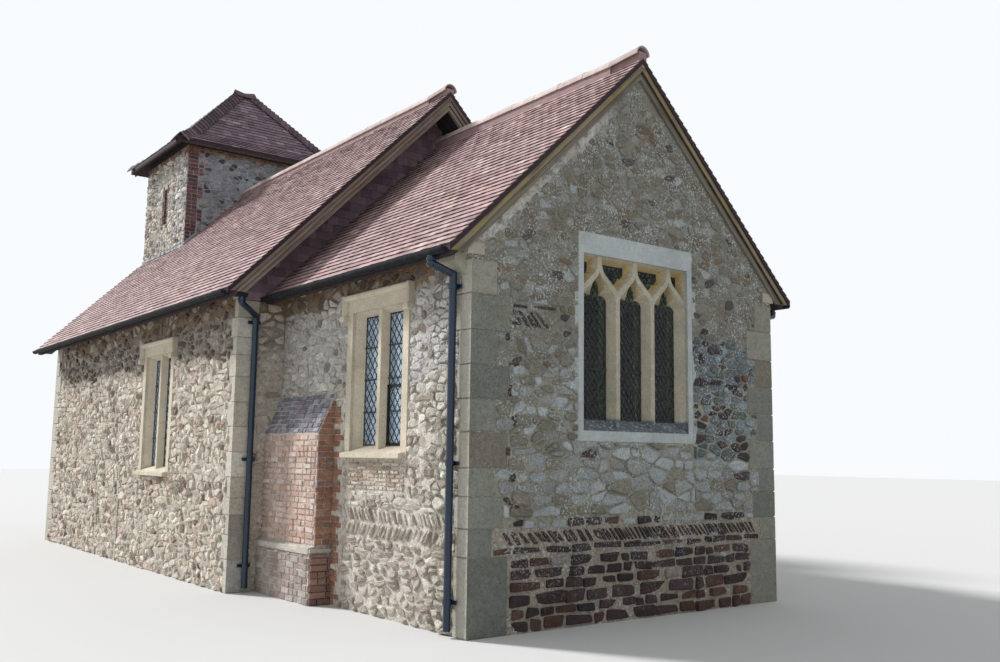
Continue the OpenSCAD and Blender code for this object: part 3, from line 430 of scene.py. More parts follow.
class Graph:
    """A material's nodes, with short calls for the usual ones."""

    def __init__(self, name, roughness, metallic=0.0, shine=0.2):
        self.material = bpy.data.materials.new(name)
        self.material.use_nodes = True
        tree = self.material.node_tree
        self.nodes, self.links = tree.nodes, tree.links
        self.shader = self.nodes["Principled BSDF"]
        self.shader.inputs["Roughness"].default_value = roughness
        self.shader.inputs["Metallic"].default_value = metallic
        self.shader.inputs["Specular IOR Level"].default_value = shine
        self.place = self.node("ShaderNodeTexCoord").outputs["Object"]

    def node(self, kind, settings=None, **inputs):
        made = self.nodes.new(kind)
        for key, value in (settings or {}).items():
            setattr(made, key, value)
        for key, value in inputs.items():
            self.put(made.inputs[key.replace("_", " ")], value)
        return made

    def put(self, socket, value):
        if isinstance(value, bpy.types.NodeSocket):
            self.links.new(value, socket)
        else:
            socket.default_value = value

    def noise(self, scale, detail, rough=0.55, at=None):
        made = self.node("ShaderNodeTexNoise", Vector=at or self.place, Scale=scale, Detail=detail,
                         Roughness=rough)
        return made.outputs["Fac"]

    def ramp(self, value, low, high):
        """0 at low, 1 at high."""
        return self.node("ShaderNodeMapRange", Value=value, From_Min=low, From_Max=high).outputs["Result"]

    def mix(self, factor, a, b, share=None, kind="MIX"):
        """From a to b by the factor, or by that share of it."""
        if share is not None:
            factor = self.times(factor, share)
        made = self.node("ShaderNodeMix", {"data_type": "RGBA", "blend_type": kind})
        for socket, value in ((made.inputs[0], factor), (made.inputs[6], a), (made.inputs[7], b)):
            if isinstance(value, tuple) and len(value) == 3:
                value = (*value, 1.0)
            self.put(socket, value)
        return made.outputs[2]

    def maths(self, kind, a, b=0.0):
        made = self.node("ShaderNodeMath", {"operation": kind})
        self.put(made.inputs[0], a)
        self.put(made.inputs[1], b)
        return made.outputs[0]

    def times(self, a, b):
        return self.maths("MULTIPLY", a, b)

    def plus(self, a, b):
        return self.maths("ADD", a, b)

    def minus(self, a, b):
        return self.maths("SUBTRACT", a, b)

    def shade(self, factor, base, by, share=None):
        """The base multiplied by a colour, as much as the factor says."""
        return self.mix(factor, base, by, share, "MULTIPLY")

    def tint(self):
        return self.node("ShaderNodeVertexColor", {"layer_name": "tint"}).outputs["Color"]

    def axis(self, which, of=None):
        return self.node("ShaderNodeSeparateXYZ", Vector=of or self.place).outputs[which]

    def finish(self, colour, height, strength, distance):
        """Sets the base colour and a bump, and gives the material."""
        self.put(self.shader.inputs["Base Color"], colour)
        made = self.node("ShaderNodeBump", Height=height, Strength=strength, Distance=distance)
        self.put(self.shader.inputs["Normal"], made.outputs[0])
        return self.material

    def under_roof(self, roof):
        """Depth under the plane of a roof's tiles."""
        axis, span, eave, tan = roof
        across = self.maths("ABSOLUTE", self.minus(self.axis("X"), axis))
        surface = self.minus(eave + span * tan, self.times(across, tan))
        return self.minus(surface, self.axis("Z"))


def stone_material(name, grain, lichen=0.0, speckle=0.0, fleck=(0.46, 0.46, 0.44), pit_shade=1.0, painted_sunlight=0.0):
    """Weathered stone over its own colours, with pale specks, patches of lichen, painted shade in its pits
    and, if asked, painted sunlight on faces that look south or north.
    """
    g = Graph(name, roughness=0.92)
    fine, mid, wide = g.noise(60, 6, 0.65), g.noise(17, 5, 0.6), g.noise(1.3, 3)
    base = g.tint()
    # Painted sunlight: faces that look south or north are lightened towards a pale colour by this share.
    if painted_sunlight:
        outward = g.axis("X", g.node("ShaderNodeNewGeometry").outputs["True Normal"])
        base = g.mix(g.ramp(g.maths("ABSOLUTE", outward), 0.6, 0.9), base, (0.50, 0.475, 0.41), painted_sunlight)
    base = g.shade(g.ramp(mid, 0.38, 0.68), base, (1.25, 1.23, 1.18))
    # Painted shade: darker where the fine noise, which also lowers the bump, is low.
    base = g.shade(g.ramp(fine, 0.50, 0.34), base, (0.48, 0.46, 0.44), pit_shade)
    base = g.shade(g.ramp(wide, 0.45, 0.75), base, (0.72, 0.71, 0.69), 0.45)
    if speckle:
        spots = g.times(g.ramp(g.noise(46, 3, 0.6), 0.56, 0.61), g.ramp(g.noise(3, 3), 0.40, 0.60))
        spots = g.times(spots, g.ramp(g.axis("Z"), 0.1, 1.0))
        base = g.mix(g.times(spots, speckle), base, fleck)
    if lichen:
        base = g.mix(g.ramp(g.noise(9, 5, 0.65), 0.58, 0.68), base, (0.40, 0.31, 0.13), lichen)
    return g.finish(base, g.plus(g.times(fine, 0.5), mid), 0.9, grain)


def mortar_material(name, zones, streak=0.0, speckle=0.0):
    """Rough lime mortar full of grit; zones are (height, colour) from the ground up."""
    g = Graph(name, roughness=0.95)
    fine, mid, wide = g.noise(75, 5, 0.7), g.noise(20, 5, 0.6), g.noise(2.2, 4)
    height = g.plus(g.axis("Z"), g.times(g.minus(wide, 0.5), 0.5))
    colour = zones[0][1]
    for z, other in zones[1:]:
        colour = g.mix(g.ramp(height, z - 0.07, z + 0.07), colour, other)
    if streak:
        near = g.ramp(g.under_roof(CHANCEL_ROOF), 0.48, 0.36)
        south = g.ramp(g.axis("X"), AXIS - 0.3, AXIS - 0.7)
        patchy = g.ramp(g.noise(7, 4), 0.35, 0.5)
        near = g.times(g.times(near, south), patchy)
        colour = g.mix(near, colour, (0.60, 0.58, 0.54), streak)
    base = g.shade(g.ramp(mid, 0.52, 0.36), colour, (0.62, 0.60, 0.57))
    base = g.shade(g.ramp(fine, 0.55, 0.66), base, (1.4, 1.4, 1.4))
    base = g.shade(g.ramp(fine, 0.42, 0.34), base, (0.55, 0.52, 0.5))
    if speckle:
        brown = g.times(g.ramp(g.noise(1.7, 4, 0.6), 0.50, 0.62), g.ramp(g.axis("Z"), 2.4, 2.9))
        base = g.mix(brown, base, (0.18, 0.135, 0.09), 0.4)
        spots = g.times(g.ramp(g.noise(46, 3, 0.6), 0.55, 0.60), g.ramp(g.noise(3, 3), 0.36, 0.58))
        base = g.mix(spots, base, (0.54, 0.58, 0.60), speckle)
    return g.finish(base, g.plus(mid, g.times(fine, 0.5)), 1.0, 0.022)


def limestone_material(name, front, reveal=None, depth=None):
    """Dressed limestone; in the east window warmer behind the mullions' noses and dark on the sill."""
    g = Graph(name, roughness=0.88)
    fine, mid, wide = g.noise(80, 4), g.noise(11, 5), g.noise(2.0, 3)
    base = front
    if depth is not None:
        base = g.mix(g.ramp(g.axis("Y"), depth + 0.015, depth + 0.035), front, reveal)
        under = g.times(g.ramp(g.axis("Y"), depth + 0.060, depth + 0.085), g.ramp(g.axis("Z"), 3.38, 3.62))
        base = g.mix(under, base, (0.46, 0.35, 0.17))
        sill = g.times(g.ramp(g.axis("Z"), 2.12, 2.085), g.ramp(g.axis("Y"), depth + 0.004, depth + 0.012))
        base = g.mix(sill, base, (0.115, 0.135, 0.160))
        base = g.mix(g.ramp(g.noise(26, 5, 0.7), 0.54, 0.60), base, (0.52, 0.54, 0.54), 0.5)
    base = g.shade(g.ramp(mid, 0.35, 0.7), base, (1.16, 1.15, 1.12))
    base = g.shade(g.ramp(fine, 0.46, 0.34), base, (0.68, 0.66, 0.62))
    base = g.shade(g.ramp(wide, 0.45, 0.7), base, (0.76, 0.76, 0.74), 0.6)
    base = g.mix(g.ramp(g.noise(10, 5, 0.65), 0.60, 0.68), base, (0.36, 0.28, 0.11), 0.35)
    return g.finish(base, g.plus(fine, mid), 0.6, 0.003)


def tile_material(name, colour=None, moss=0.0):
    g = Graph(name, roughness=0.78)
    fine, mid, wide = g.noise(70, 4), g.noise(9, 4), g.noise(0.8, 3)
    base = colour or g.tint()
    base = g.shade(g.ramp(mid, 0.35, 0.75), base, (1.35, 1.3, 1.25))
    base = g.shade(g.ramp(wide, 0.45, 0.75), base, (0.7, 0.68, 0.68), 0.5)
    if not colour:
        base = g.mix(g.ramp(fine, 0.6, 0.75), base, (0.46, 0.40, 0.38), 0.4)
    if moss:
        base = g.mix(g.ramp(g.noise(5, 5, 0.7), 0.56, 0.68), base, (0.34, 0.28, 0.12), moss)
    return g.finish(base, g.plus(fine, mid), 0.6, 0.003)


def grained(g, roof):
    """Noise drawn out along boards that follow a roof's slope, or along upright ones without a roof."""
    if roof is None:
        along, across = g.axis("Z"), g.axis("X")
    else:
        tan = roof[3]
        x, k = g.maths("ABSOLUTE", g.minus(g.axis("X"), roof[0])), 1 / math.hypot(1, tan)
        across = g.plus(g.times(g.axis("Z"), k), g.times(x, tan * k))
        along = g.minus(g.times(x, k), g.times(g.axis("Z"), tan * k))
    drawn = g.node("ShaderNodeCombineXYZ", X=g.times(along, 2.0), Y=g.times(across, 45.0),
                   Z=g.times(g.axis("Y"), 40.0))
    return g.noise(1.0, 6, 0.6, at=drawn.outputs[0])


def board_material(name, roof, bands, lichen):
    """Weathered boards along a verge, coloured by bands of (depth under the tiles, colour), with painted
    shadow lines where the bands meet.
    """
    g = Graph(name, roughness=0.82)
    grain, blotch, depth = grained(g, roof), g.noise(6, 4), g.under_roof(roof)
    colour = bands[0][1]
    for at, other in bands[1:]:
        colour = g.mix(g.ramp(depth, at - 0.001, at + 0.001), colour, other)
    # Painted shadow lines where one band meets the next.
    for at, _ in bands[1:]:
        line = g.times(g.ramp(depth, at - 0.012, at - 0.004), g.ramp(depth, at + 0.012, at + 0.002))
        colour = g.shade(line, colour, (0.25, 0.22, 0.2))
    colour = g.shade(g.ramp(grain, 0.55, 0.36), colour, (0.55, 0.52, 0.5))
    top = g.ramp(depth, bands[-1][0] + 0.03, bands[-1][0] - 0.06)
    patches = g.times(g.ramp(blotch, 0.45, 0.6), top)
    colour = g.mix(patches, colour, (0.30, 0.24, 0.055), lichen)
    return g.finish(colour, grain, 0.6, 0.004)


def oak_material(name, base, roof):
    g = Graph(name, roughness=0.9, shine=0.0)
    grain = grained(g, roof)
    dark = tuple(c * 0.45 for c in base)
    return g.finish(g.mix(g.ramp(grain, 0.35, 0.65), dark, base), grain, 0.6, 0.004)


def paint_material(name, low, high, roughness, dusty=0.0):
    g = Graph(name, roughness=roughness, shine=0.2 if roughness > 0.6 else 0.5)
    base = g.mix(g.ramp(g.noise(60, 4), 0.45, 0.75), low, high)
    if dusty:
        base = g.mix(g.ramp(g.noise(12, 4), 0.5, 0.65), base, (0.30, 0.27, 0.22), dusty)
    return g.finish(base, g.noise(25, 3), 0.25, 0.002)


def lead_material(name):
    g = Graph(name, roughness=0.55, metallic=0.3, shine=0.5)
    base = g.mix(g.noise(7, 4), (0.16, 0.17, 0.20), (0.42, 0.43, 0.46))
    return g.finish(base, g.noise(12, 3), 0.5, 0.004)


def glass_material(name, scale, dim, ior, clear):
    """Old leaded glass whose small panes tilt a little against each other."""
    g = Graph(name, roughness=0.03, shine=0.5)
    g.shader.inputs["Transmission Weight"].default_value = clear
    g.shader.inputs["IOR"].default_value = ior
    # For the east glass the colour tints what passes through; for the side glass it is a painted reflection
    # of the sky. Lighter in patches.
    bright = tuple(min(1.0, c * 1.2) for c in dim)
    return g.finish(g.mix(g.noise(6, 3), dim, bright), g.noise(scale, 2), 0.5, 0.02)


def floor_slabs(name):
    g = Graph(name, roughness=0.85)
    slabs = g.node("ShaderNodeTexBrick", Vector=g.place, Scale=1.0, Mortar_Size=0.008, Brick_Width=0.6,
                   Row_Height=0.45, Color1=(0.30, 0.28, 0.24, 1), Color2=(0.24, 0.22, 0.19, 1),
                   Mortar=(0.12, 0.11, 0.10, 1))
    worn = g.shade(g.ramp(g.noise(14, 5), 0.6, 0.4), slabs.outputs["Color"], (0.7, 0.7, 0.68))
    return g.finish(worn, g.noise(30, 4), 0.5, 0.003)


rubble_mat = stone_material("rubble_stone", lichen=0.12, grain=0.026)
gable_mat = stone_material("gable_stone", lichen=0.15, speckle=0.9, fleck=(0.52, 0.56, 0.58), grain=0.016)
# The corner stones get less painted shade in their pits, and painted sunlight on their south and north faces.
ashlar_mat = stone_material("corner_stone", lichen=0.15, speckle=0.3, grain=0.006, pit_shade=0.7, painted_sunlight=0.75)
brick_mat = stone_material("red_brick", grain=0.008, speckle=0.35, fleck=(0.56, 0.52, 0.49))
lattice_mat = stone_material("lead_came", grain=0.001)
tile_mat, dark_tile_mat = tile_material("clay_tile"), tile_material("dark_tile", moss=0.12)
ridge_mat = tile_material("ridge_tile", moss=0.15)


def dress(material, *names):
    for name in names:
        for slot in nodes[name].material_slots:
            slot.material = material


# Corner stones, and the holes that they take out of the rubble beside them

def corner(rng, z1, first, side_w, end_w, heights):
    """Blocks up a corner: their bottoms, tops and widths on the side wall and on the end wall."""
    out, z = [], 0.0
    while z < z1 - 0.08:
        top = min(z + (first if not out else rng.uniform(*heights)), z1)
        k = len(out) % 2
        out.append((z, top, side_w[k] * rng.uniform(0.9, 1.1), end_w[1 - k] * rng.uniform(0.9, 1.1)))
        z = top
    return out


def corner_block(builder, x, y, sx, sy, block, palette):
    """A block of a corner whose two faces look towards sx and sy."""
    tint = builder.pick(palette)
    (z0, z1, along, across), out, edge, joint = block, 0.010, 0.006, 0.004
    xs, ys = sorted((x + sx * out, x - sx * across)), sorted((y + sy * out, y - sy * along))
    cu, cv = sum(xs) / 2, sum(ys) / 2

    def ring(inset, z):
        shift = [builder.rng.uniform(-0.003, 0.003) for _ in range(4)]
        return [Vector((u + math.copysign(inset + s, cu - u), v + math.copysign(inset + s, cv - v), z + s))
                for (u, v), s in zip(rect(xs[0], ys[0], xs[1], ys[1]), shift)]

    builder.rings([ring(edge, z0 + joint), ring(0, z0 + joint + edge),
                   ring(0, z1 - joint - edge), ring(edge, z1 - joint)], tint)


def corner_holes(blocks, side, u, to):
    """What a corner's blocks cover on a wall that lies to the right (1) or left (-1) of its edge at u."""
    width = 2 if side in ("south", "north") else 3
    return [upright(u, u + to * b[width], b[0], b[1]) for b in blocks]


b = Builder(random.Random("corners"))
chancel_corner = corner(b.rng, 3.63, 0.74, (0.22, 0.17), (0.30, 0.44), (0.24, 0.36))
nave_corner = corner(b.rng, 3.72, 0.40, (0.10, 0.19), (0.20, 0.28), (0.20, 0.32))
west_corner = corner(b.rng, 3.72, 0.40, (0.25, 0.40), (0.40, 0.25), (0.26, 0.34))
for sx in (-1, 1):
    for block in chancel_corner:
        corner_block(b, AXIS + sx * CH, EAST, sx, -1, block, ASHLAR)
    for block in nave_corner:
        corner_block(b, sx * NH, NAVE, sx, -1, block, CREAM if block[0] > 0.7 else GREY)
    for block in west_corner:
        corner_block(b, sx * NH, WEST, sx, 1, block, PLAIN[:3])
for sign, low, high in ((-1, EAST_LOW, 2.08), (-1, 2.34, 2.72), (-1, 3.05, 3.42),
                        (1, EAST_LOW, 2.20), (1, 2.55, 2.86), (1, 3.30, 3.62)):
    edge = EAST_WINDOW + sign * EAST_HALF
    block = upright(edge, edge + sign * 0.055, low, high)
    dressed(b, block, facing("east", EAST), 0.006, (0.38, 0.405, 0.40))
b.build("corner_stones", ashlar_mat, "dressed_stone")


# East gable: ironstone below, whitish rubble, then small stones in much mortar

b = Builder(random.Random("gable"))
place = facing("east", EAST)
split, front = EAST_WINDOW + EAST_HALF, gable(AXIS, CH, 3.62, CH_TAN)
left, right = clip(front, 1, 0, split), clip(front, -1, 0, -split)
holes = [rect(EAST_WINDOW - EAST_HALF, EAST_LOW, split, EAST_HIGH), rect(-1.63, 2.96, -0.99, 3.22)]
holes += corner_holes(chancel_corner, "east", AXIS - CH, 1)
holes += corner_holes(chancel_corner, "east", AXIS + CH, -1)
upper = Zone(1.95, 6.2, (0.135, 0.085), 0.020, (0.002, 0.014), OCHRE, drop=0.22, facets=2, lean=0.1)
white = Zone(1.12, 1.95, (0.225, 0.120), 0.022, (0.010, 0.034), WHITE, coursed=True, facets=2)
masonry(b, place, clip(left, 0, -1, -1.09), holes, [
    white._replace(high=1.80),
    Zone(1.80, 2.62, (0.150, 0.105), 0.024, (0.008, 0.032), WHITE[:4] + OCHRE[:1], facets=2),
    upper._replace(low=2.62)], squash=0.30)
masonry(b, place, clip(right, 0, -1, -1.09), holes, [
    white._replace(high=1.75),
    Zone(1.75, 3.1, (0.150, 0.092), 0.020, (0.006, 0.026), BLUISH, facets=2),
    upper._replace(low=3.1)], squash=0.30)
for low, high, _, width in chancel_corner:
    high = min(high, 0.82)
    if high - low > 0.06:
        box = rect(AXIS - CH + width + 0.01, low, AXIS + CH - width - 0.01, high)
        pitch = (high - low) / max(1, round((high - low) / 0.122))
        coursed(b, place, box, pitch, (0.12, 0.46), 0.024, IRON, (0.010, 0.034))
leaning(b, place, rect(-1.62, 0.83, -0.35, 0.965), 0.092, -0.75, IRON, (0.010, 0.026))
leaning(b, place, rect(-0.35, 0.82, 2.1, 0.965), 0.056, -0.75, IRON, (0.008, 0.02))
coursed(b, place, rect(-1.60, 0.985, 2.1, 1.085), 0.10, (0.12, 0.30), 0.030, IRON + WHITE[:1], (0.008, 0.026))
for k in range(7):
    u, v = b.rng.uniform(-1.72, -1.58), 1.15 + 0.27 * k + b.rng.uniform(-0.05, 0.05)
    box = rect(u, v, u + b.rng.uniform(0.05, 0.11), v + b.rng.uniform(0.05, 0.12))
    stone(b, box, place, 0.014, b.pick(IRON[:3]), 2)
for u, v, w, h in ((1.12, 2.52, 0.12, 0.10), (1.30, 2.55, 0.24, 0.06), (1.62, 2.50, 0.20, 0.07),
                   (1.15, 2.78, 0.09, 0.12), (1.40, 2.92, 0.16, 0.06), (1.20, 3.12, 0.10, 0.08)):
    stone(b, rect(u, v, u + w, v + h), place, 0.034, b.pick(IRON[:3]), 2)
leaning(b, place, rect(-1.50, 2.97, -1.10, 3.14), 0.082, -0.8, IRON, (0.006, 0.016))
for u, v, length in ((-1.60, 3.165, 0.20), (-1.38, 3.18, 0.34), (-1.58, 3.06, 0.14), (-1.62, 2.99, 0.12)):
    stone(b, rect(u, v, u + length, v + 0.028), place, 0.012, b.pick(IRON), 2)
b.build("east_gable_stones", gable_mat, "rubble_stone")


# Long sides of chancel and nave

def window_holes(side, y, low, high, hood):
    """The box of a side window with its jambs, and the wider one of its hood mould."""
    return [strip(side, y - 0.66, y + 0.66, low, high), strip(side, y - 0.78, y + 0.78, *hood)]


for side, sign in SIDES:
    b = Builder(random.Random("chancel " + side))
    place = facing(side, AXIS + sign * CH)
    holes = window_holes(side, CH_WINDOW, 1.64, 3.46, (3.24, 3.50))
    holes += corner_holes(chancel_corner, side, sign * EAST, sign)
    holes.append(strip(side, CH_WINDOW - 0.62, CH_WINDOW + 0.60, 1.30, 1.62))
    if side == "south":
        holes += [strip(side, BUTTRESS, NAVE, 0, 1.94), strip(side, BUTTRESS - 0.22, BUTTRESS, 0, 2.30),
                  strip(side, BUTTRESS, NAVE, 1.93, 2.40)]
    slanted = [strip(side, EAST + 0.34, BUTTRESS - 0.24, z, z + 0.155) for z in (0.80, 0.965)]
    masonry(b, place, strip(side, EAST, NAVE, 0, 3.80), holes + slanted, [
        Zone(-0.1, 0.80, (0.19, 0.078), 0.026, (0.006, 0.034), SLABS, jitter=0.36, coursed=True,
             facets=2, lean=0.3),
        Zone(0.80, 1.70, (0.140, 0.088), 0.020, (0.006, 0.034), SLABS + BRIGHT, facets=2, lean=0.32),
        Zone(1.70, 2.45, (0.130, 0.086), 0.013, (0.006, 0.034), BRIGHT, facets=2, lean=0.32),
        Zone(2.45, 3.40, (0.115, 0.078), 0.014, (0.004, 0.022), LILAC, facets=2, lean=0.22),
        Zone(3.40, 3.90, (0.150, 0.090), 0.036, (0.004, 0.016), UPPER, drop=0.45)])
    for band, lean in zip(slanted, (0.5, -0.45)):
        leaning(b, place, band, 0.086, lean, SLABS, (0.006, 0.032))
    for k in range(7):
        v = 1.315 + 0.043 * k
        bricks(b, place, strip(side, CH_WINDOW - 0.60, CH_WINDOW + 0.58, v, v + 0.040), size=(0.17, 0.040),
               proud=(0.004, 0.022), palette=COURSES, joint=0.014)
    b.build("chancel_%s_stones" % side, rubble_mat, "rubble_stone")

    b = Builder(random.Random("nave " + side))
    place = facing(side, sign * NH)
    holes = window_holes(side, NAVE_WINDOW, 1.34, 3.29, (3.06, 3.33))
    holes += corner_holes(nave_corner, side, sign * NAVE, sign)
    holes += corner_holes(west_corner, side, sign * WEST, -sign)
    posts = [strip(side, y - 0.05, y + 0.05, 0, 1.52) for y in (1.96, 3.09)]
    masonry(b, place, strip(side, NAVE, WEST, 0, 3.80), holes + posts, [
        Zone(-0.1, 2.95, (0.125, 0.086), 0.012, (0.006, 0.036), PALE, lean=0.32),
        Zone(2.95, 3.36, (0.120, 0.082), 0.022, (0.006, 0.024), UPPER, drop=0.2),
        Zone(3.36, 3.90, (0.135, 0.090), 0.036, (0.004, 0.016), UPPER, drop=0.5)])
    for post in posts:
        left, right = post[0][0] + 0.01, post[1][0] - 0.01
        for k in range(6):
            dressed(b, rect(left, 0.25 * k + 0.01, right, 0.25 * k + 0.24), place, 0.02, b.pick(CREAM))
    b.build("nave_%s_stones" % side, rubble_mat, "rubble_stone")


# East face of the nave beside the chancel, and the west wall

b = Builder(random.Random("ends"))
for sign in (-1, 1):
    holes = corner_holes(nave_corner, "east", sign * NH, -sign)
    masonry(b, facing("east", NAVE), upright(sign * NH, AXIS + sign * CH, 0, 3.6), holes, [
        Zone(-0.1, 0.86, (0.16, 0.11), 0.020, (0.006, 0.022), BUFF),
        Zone(0.86, 1.34, (0.20, 0.15), 0.014, (0.006, 0.014), BUFF[:1], jitter=0.2, drop=0.0),
        Zone(1.34, 3.7, (0.16, 0.11), 0.022, (0.006, 0.022), BUFF, drop=0.3)])
door = rect(-TOWER_AXIS - 0.66, 0, -TOWER_AXIS + 0.66, 2.26)
holes = [door] + corner_holes(west_corner, "west", -NH, 1) + corner_holes(west_corner, "west", NH, -1)
masonry(b, facing("west", WEST), clip(gable(0, NH, 3.79, NAVE_TAN), 0, 1, 4.45), holes, [
    Zone(-0.1, 4.6, (0.140, 0.095), 0.018, (0.008, 0.032), PLAIN, drop=0.06, lean=0.25)])
b.build("end_wall_stones", rubble_mat, "rubble_stone")


# Tower: small stones between corners of brick

TOWER_TOP, COURSE, SLIT = 7.6, 0.075, EAST + 11.82
MIDDLE, HALF_LENGTH = (TOWER + WEST) / 2, 1.18


def tower_corner(z):
    """Width of the brick corner at a height, stepping in and out every three courses."""
    return 0.32 if int(z / (3 * COURSE)) % 2 else 0.21


rng = random.Random("tower")
stones, corners = Builder(rng), Builder(rng)
for side, at, axis, half, low in (("west", WEST, -TOWER_AXIS, TH, 3.9), ("east", TOWER, TOWER_AXIS, TH, 5.0),
                                  ("south", TOWER_AXIS - TH, -MIDDLE, HALF_LENGTH, 4.3),
                                  ("north", TOWER_AXIS + TH, MIDDLE, HALF_LENGTH, 4.0)):
    place, holes = facing(side, at), []
    if side in ("south", "north"):
        holes.append(strip(side, SLIT - 0.17, SLIT + 0.17, 6.12, 7.08))
        for edge in (-0.16, 0.09):
            column = strip(side, SLIT + edge, SLIT + edge + 0.07, 6.14, 7.06)
            bricks(corners, place, column, size=(0.07, COURSE), proud=(0.004, 0.012), palette=DEEP)
        jamb, jamb_out = (-SLIT - 0.088, 0.012) if side == "south" else (SLIT + 0.088, -0.012)
        z = 6.16
        while z < 7.0:
            bar(corners, place, rect(jamb, z, jamb + jamb_out, z + 0.066), -0.40, -0.004, corners.pick(DEEP))
            z += COURSE
    z = low
    while z < TOWER_TOP - 0.02:
        w, top = tower_corner(z), min(z + COURSE, TOWER_TOP)
        for u0, u1 in ((axis - half, axis - half + w), (axis + half - w, axis + half)):
            if side in ("north", "west") or (side == "east" and u0 < axis):
                holes.append(rect(u0, z, u1, top))
                bricks(corners, place, holes[-1], palette=DEEP)
        z += COURSE
    palette = {"east": SLATE, "south": GREY + PALE[:2]}.get(side, PLAIN)
    masonry(stones, place, rect(axis - half, low, axis + half, TOWER_TOP), holes, [
        Zone(low - 0.1, 7.5, (0.125, 0.080), 0.016, (0.005, 0.026), palette, lean=0.25),
        Zone(7.5, 7.8, (0.150, 0.085), 0.034, (0.004, 0.018), UPPER)])
stones.build("tower_stones", rubble_mat, "rubble_stone")
corners.build("tower_corner_bricks", brick_mat, "red_brick")


# Buttress bricks: front, plinth, sloping head, east end, and the bonded strip beside it

# How far the buttress and its plinth stand out of the chancel's wall, and their heights
SOUTH, OUT, PLINTH_OUT = AXIS - CH, 0.21, 0.27
PLINTH_TOP, LEDGE, HEAD_FOOT, HEAD_RISE = 0.56, (0.582, 0.622), 1.93, 0.48
SMALL = (0.20, 0.066)
REACH = math.hypot(HEAD_RISE, OUT)


def head_place(u, v, w):
    """As facing gives it, on the slope of the buttress's head."""
    return Vector((SOUTH - OUT + (v * OUT - w * HEAD_RISE) / REACH, -u,
                   HEAD_FOOT + (v * HEAD_RISE + w * OUT) / REACH))


b = Builder(random.Random("buttress"))
end = facing("east", BUTTRESS)
bricks(b, facing("south", SOUTH - OUT), strip("south", BUTTRESS, NAVE, 0.66, 1.925), size=SMALL,
       proud=(0.002, 0.018), joint=0.016, half=0.62)
bricks(b, facing("south", SOUTH - PLINTH_OUT), strip("south", BUTTRESS, NAVE, 0.0, PLINTH_TOP),
       palette=WASH, proud=(0.002, 0.014), joint=0.014, half=0.6)
bricks(b, head_place, rect(-NAVE, 0.005, -BUTTRESS, REACH - 0.01), size=(0.13, 0.062), palette=HEAD,
       proud=(0.002, 0.020), joint=0.014)
bricks(b, end, [(SOUTH - OUT, 0.66), (SOUTH, 0.66), (SOUTH, 2.38), (SOUTH - OUT, 1.92)], size=SMALL,
       palette=RED, proud=(0.008, 0.020), half=0.6, joint=0.014)
bricks(b, end, rect(SOUTH - PLINTH_OUT, 0.0, SOUTH, PLINTH_TOP), palette=DULL, proud=(0.030, 0.042),
       half=0.6, joint=0.014)
for k in range(34):
    wide, high = (0.13, 0.21, 0.17)[k % 3] * b.rng.uniform(0.8, 1.1), SMALL[1]
    bricks(b, facing("south", SOUTH), strip("south", BUTTRESS - wide, BUTTRESS, high * k, high * k + high),
           size=SMALL, palette=RED + RED[:2] + PALE[:1], proud=(0.006, 0.022), joint=0.014)
b.build("buttress_bricks", brick_mat, "red_brick")
b = Builder(b.rng)
for k in range(5):
    u = -(BUTTRESS + 0.286 * k) - 0.003
    dressed(b, rect(u - 0.28, LEDGE[0], u, LEDGE[1]), facing("south", SOUTH - 0.275), 0.016, b.pick(CREAM))
dressed(b, rect(SOUTH - 0.282, LEDGE[0], SOUTH - 0.01, LEDGE[1]), end, 0.045, b.pick(CREAM))
b.build("buttress_ledge", ashlar_mat, "dressed_stone")


# Leaded lights: lattices of flat cames just in front of the glass

# Width of a came, then the size of the panes and their depth in the wall
CAME, EAST_LEADS, SIDE_LEADS = 0.009, ((0.0675, 0.100), 0.1498), ((0.100, 0.125), 0.1198)


def surround(builder, place, outline, width, low, high, tint=LEAD):
    """Four flat bars inside the edges of a box."""
    u0, u1, v0, v1 = spans(outline)
    for side in (rect(u0, v0, u0 + width, v1), rect(u1 - width, v0, u1, v1),
                 rect(u0, v0, u1, v0 + width), rect(u0, v1 - width, u1, v1)):
        bar(builder, place, side, low, high, tint)


def lattice(builder, place, light, size, depth):
    """Diamonds of lead over a box, with a came round its edge."""
    u0, u1, v0, v1 = spans(light)
    w, h = size
    steep = math.hypot(w, h)
    step = w * h / steep
    for lean, lift in ((1, 0.0), (-1, 0.002)):
        nx, ny = h / steep, -lean * w / steep
        ends = [nx * u + ny * v for u, v in light]
        d = math.ceil(min(ends) / step) * step
        while d < max(ends):
            poly = clip_to(light, [(nx, ny, d + CAME / 2), (-nx, -ny, -d + CAME / 2)])
            if poly and area(poly) > 0.2 * CAME * w:
                bar(builder, place, poly, -depth, lift + 0.003 - depth)
            d += step
    surround(builder, place, light, 0.014, -depth, 0.006 - depth)


b = Builder()
place = facing("east", EAST)
for k in (-1, 0, 1):
    c = EAST_WINDOW + 0.54 * k
    lattice(b, place, rect(c - 0.19, 2.09, c + 0.19, 3.64), *EAST_LEADS)
    bar(b, place, rect(c - 0.19, 2.62, c + 0.19, 2.634), -0.145, -0.133)
for left, right in ((-0.442, -0.098), (0.098, 0.442), (-0.765, -0.638), (0.638, 0.765)):
    lattice(b, place, rect(EAST_WINDOW + left, 3.575, EAST_WINDOW + right, 3.785), *EAST_LEADS)
for side, sign in SIDES:
    for at, y, low, high in ((AXIS + sign * CH, CH_WINDOW, 1.79, 3.245),
                             (sign * NH, NAVE_WINDOW, 1.49, 3.07)):
        place = facing(side, at)
        for a in (0.06, -0.46):
            light = strip(side, y + a, y + a + 0.40, low, high)
            lattice(b, place, light, *SIDE_LEADS)
            for k in (1, 2, 3):
                v = low + k * (high - low) / 4
                bar(b, place, rect(light[0][0], v, light[1][0], v + 0.012), -0.112, -0.100)
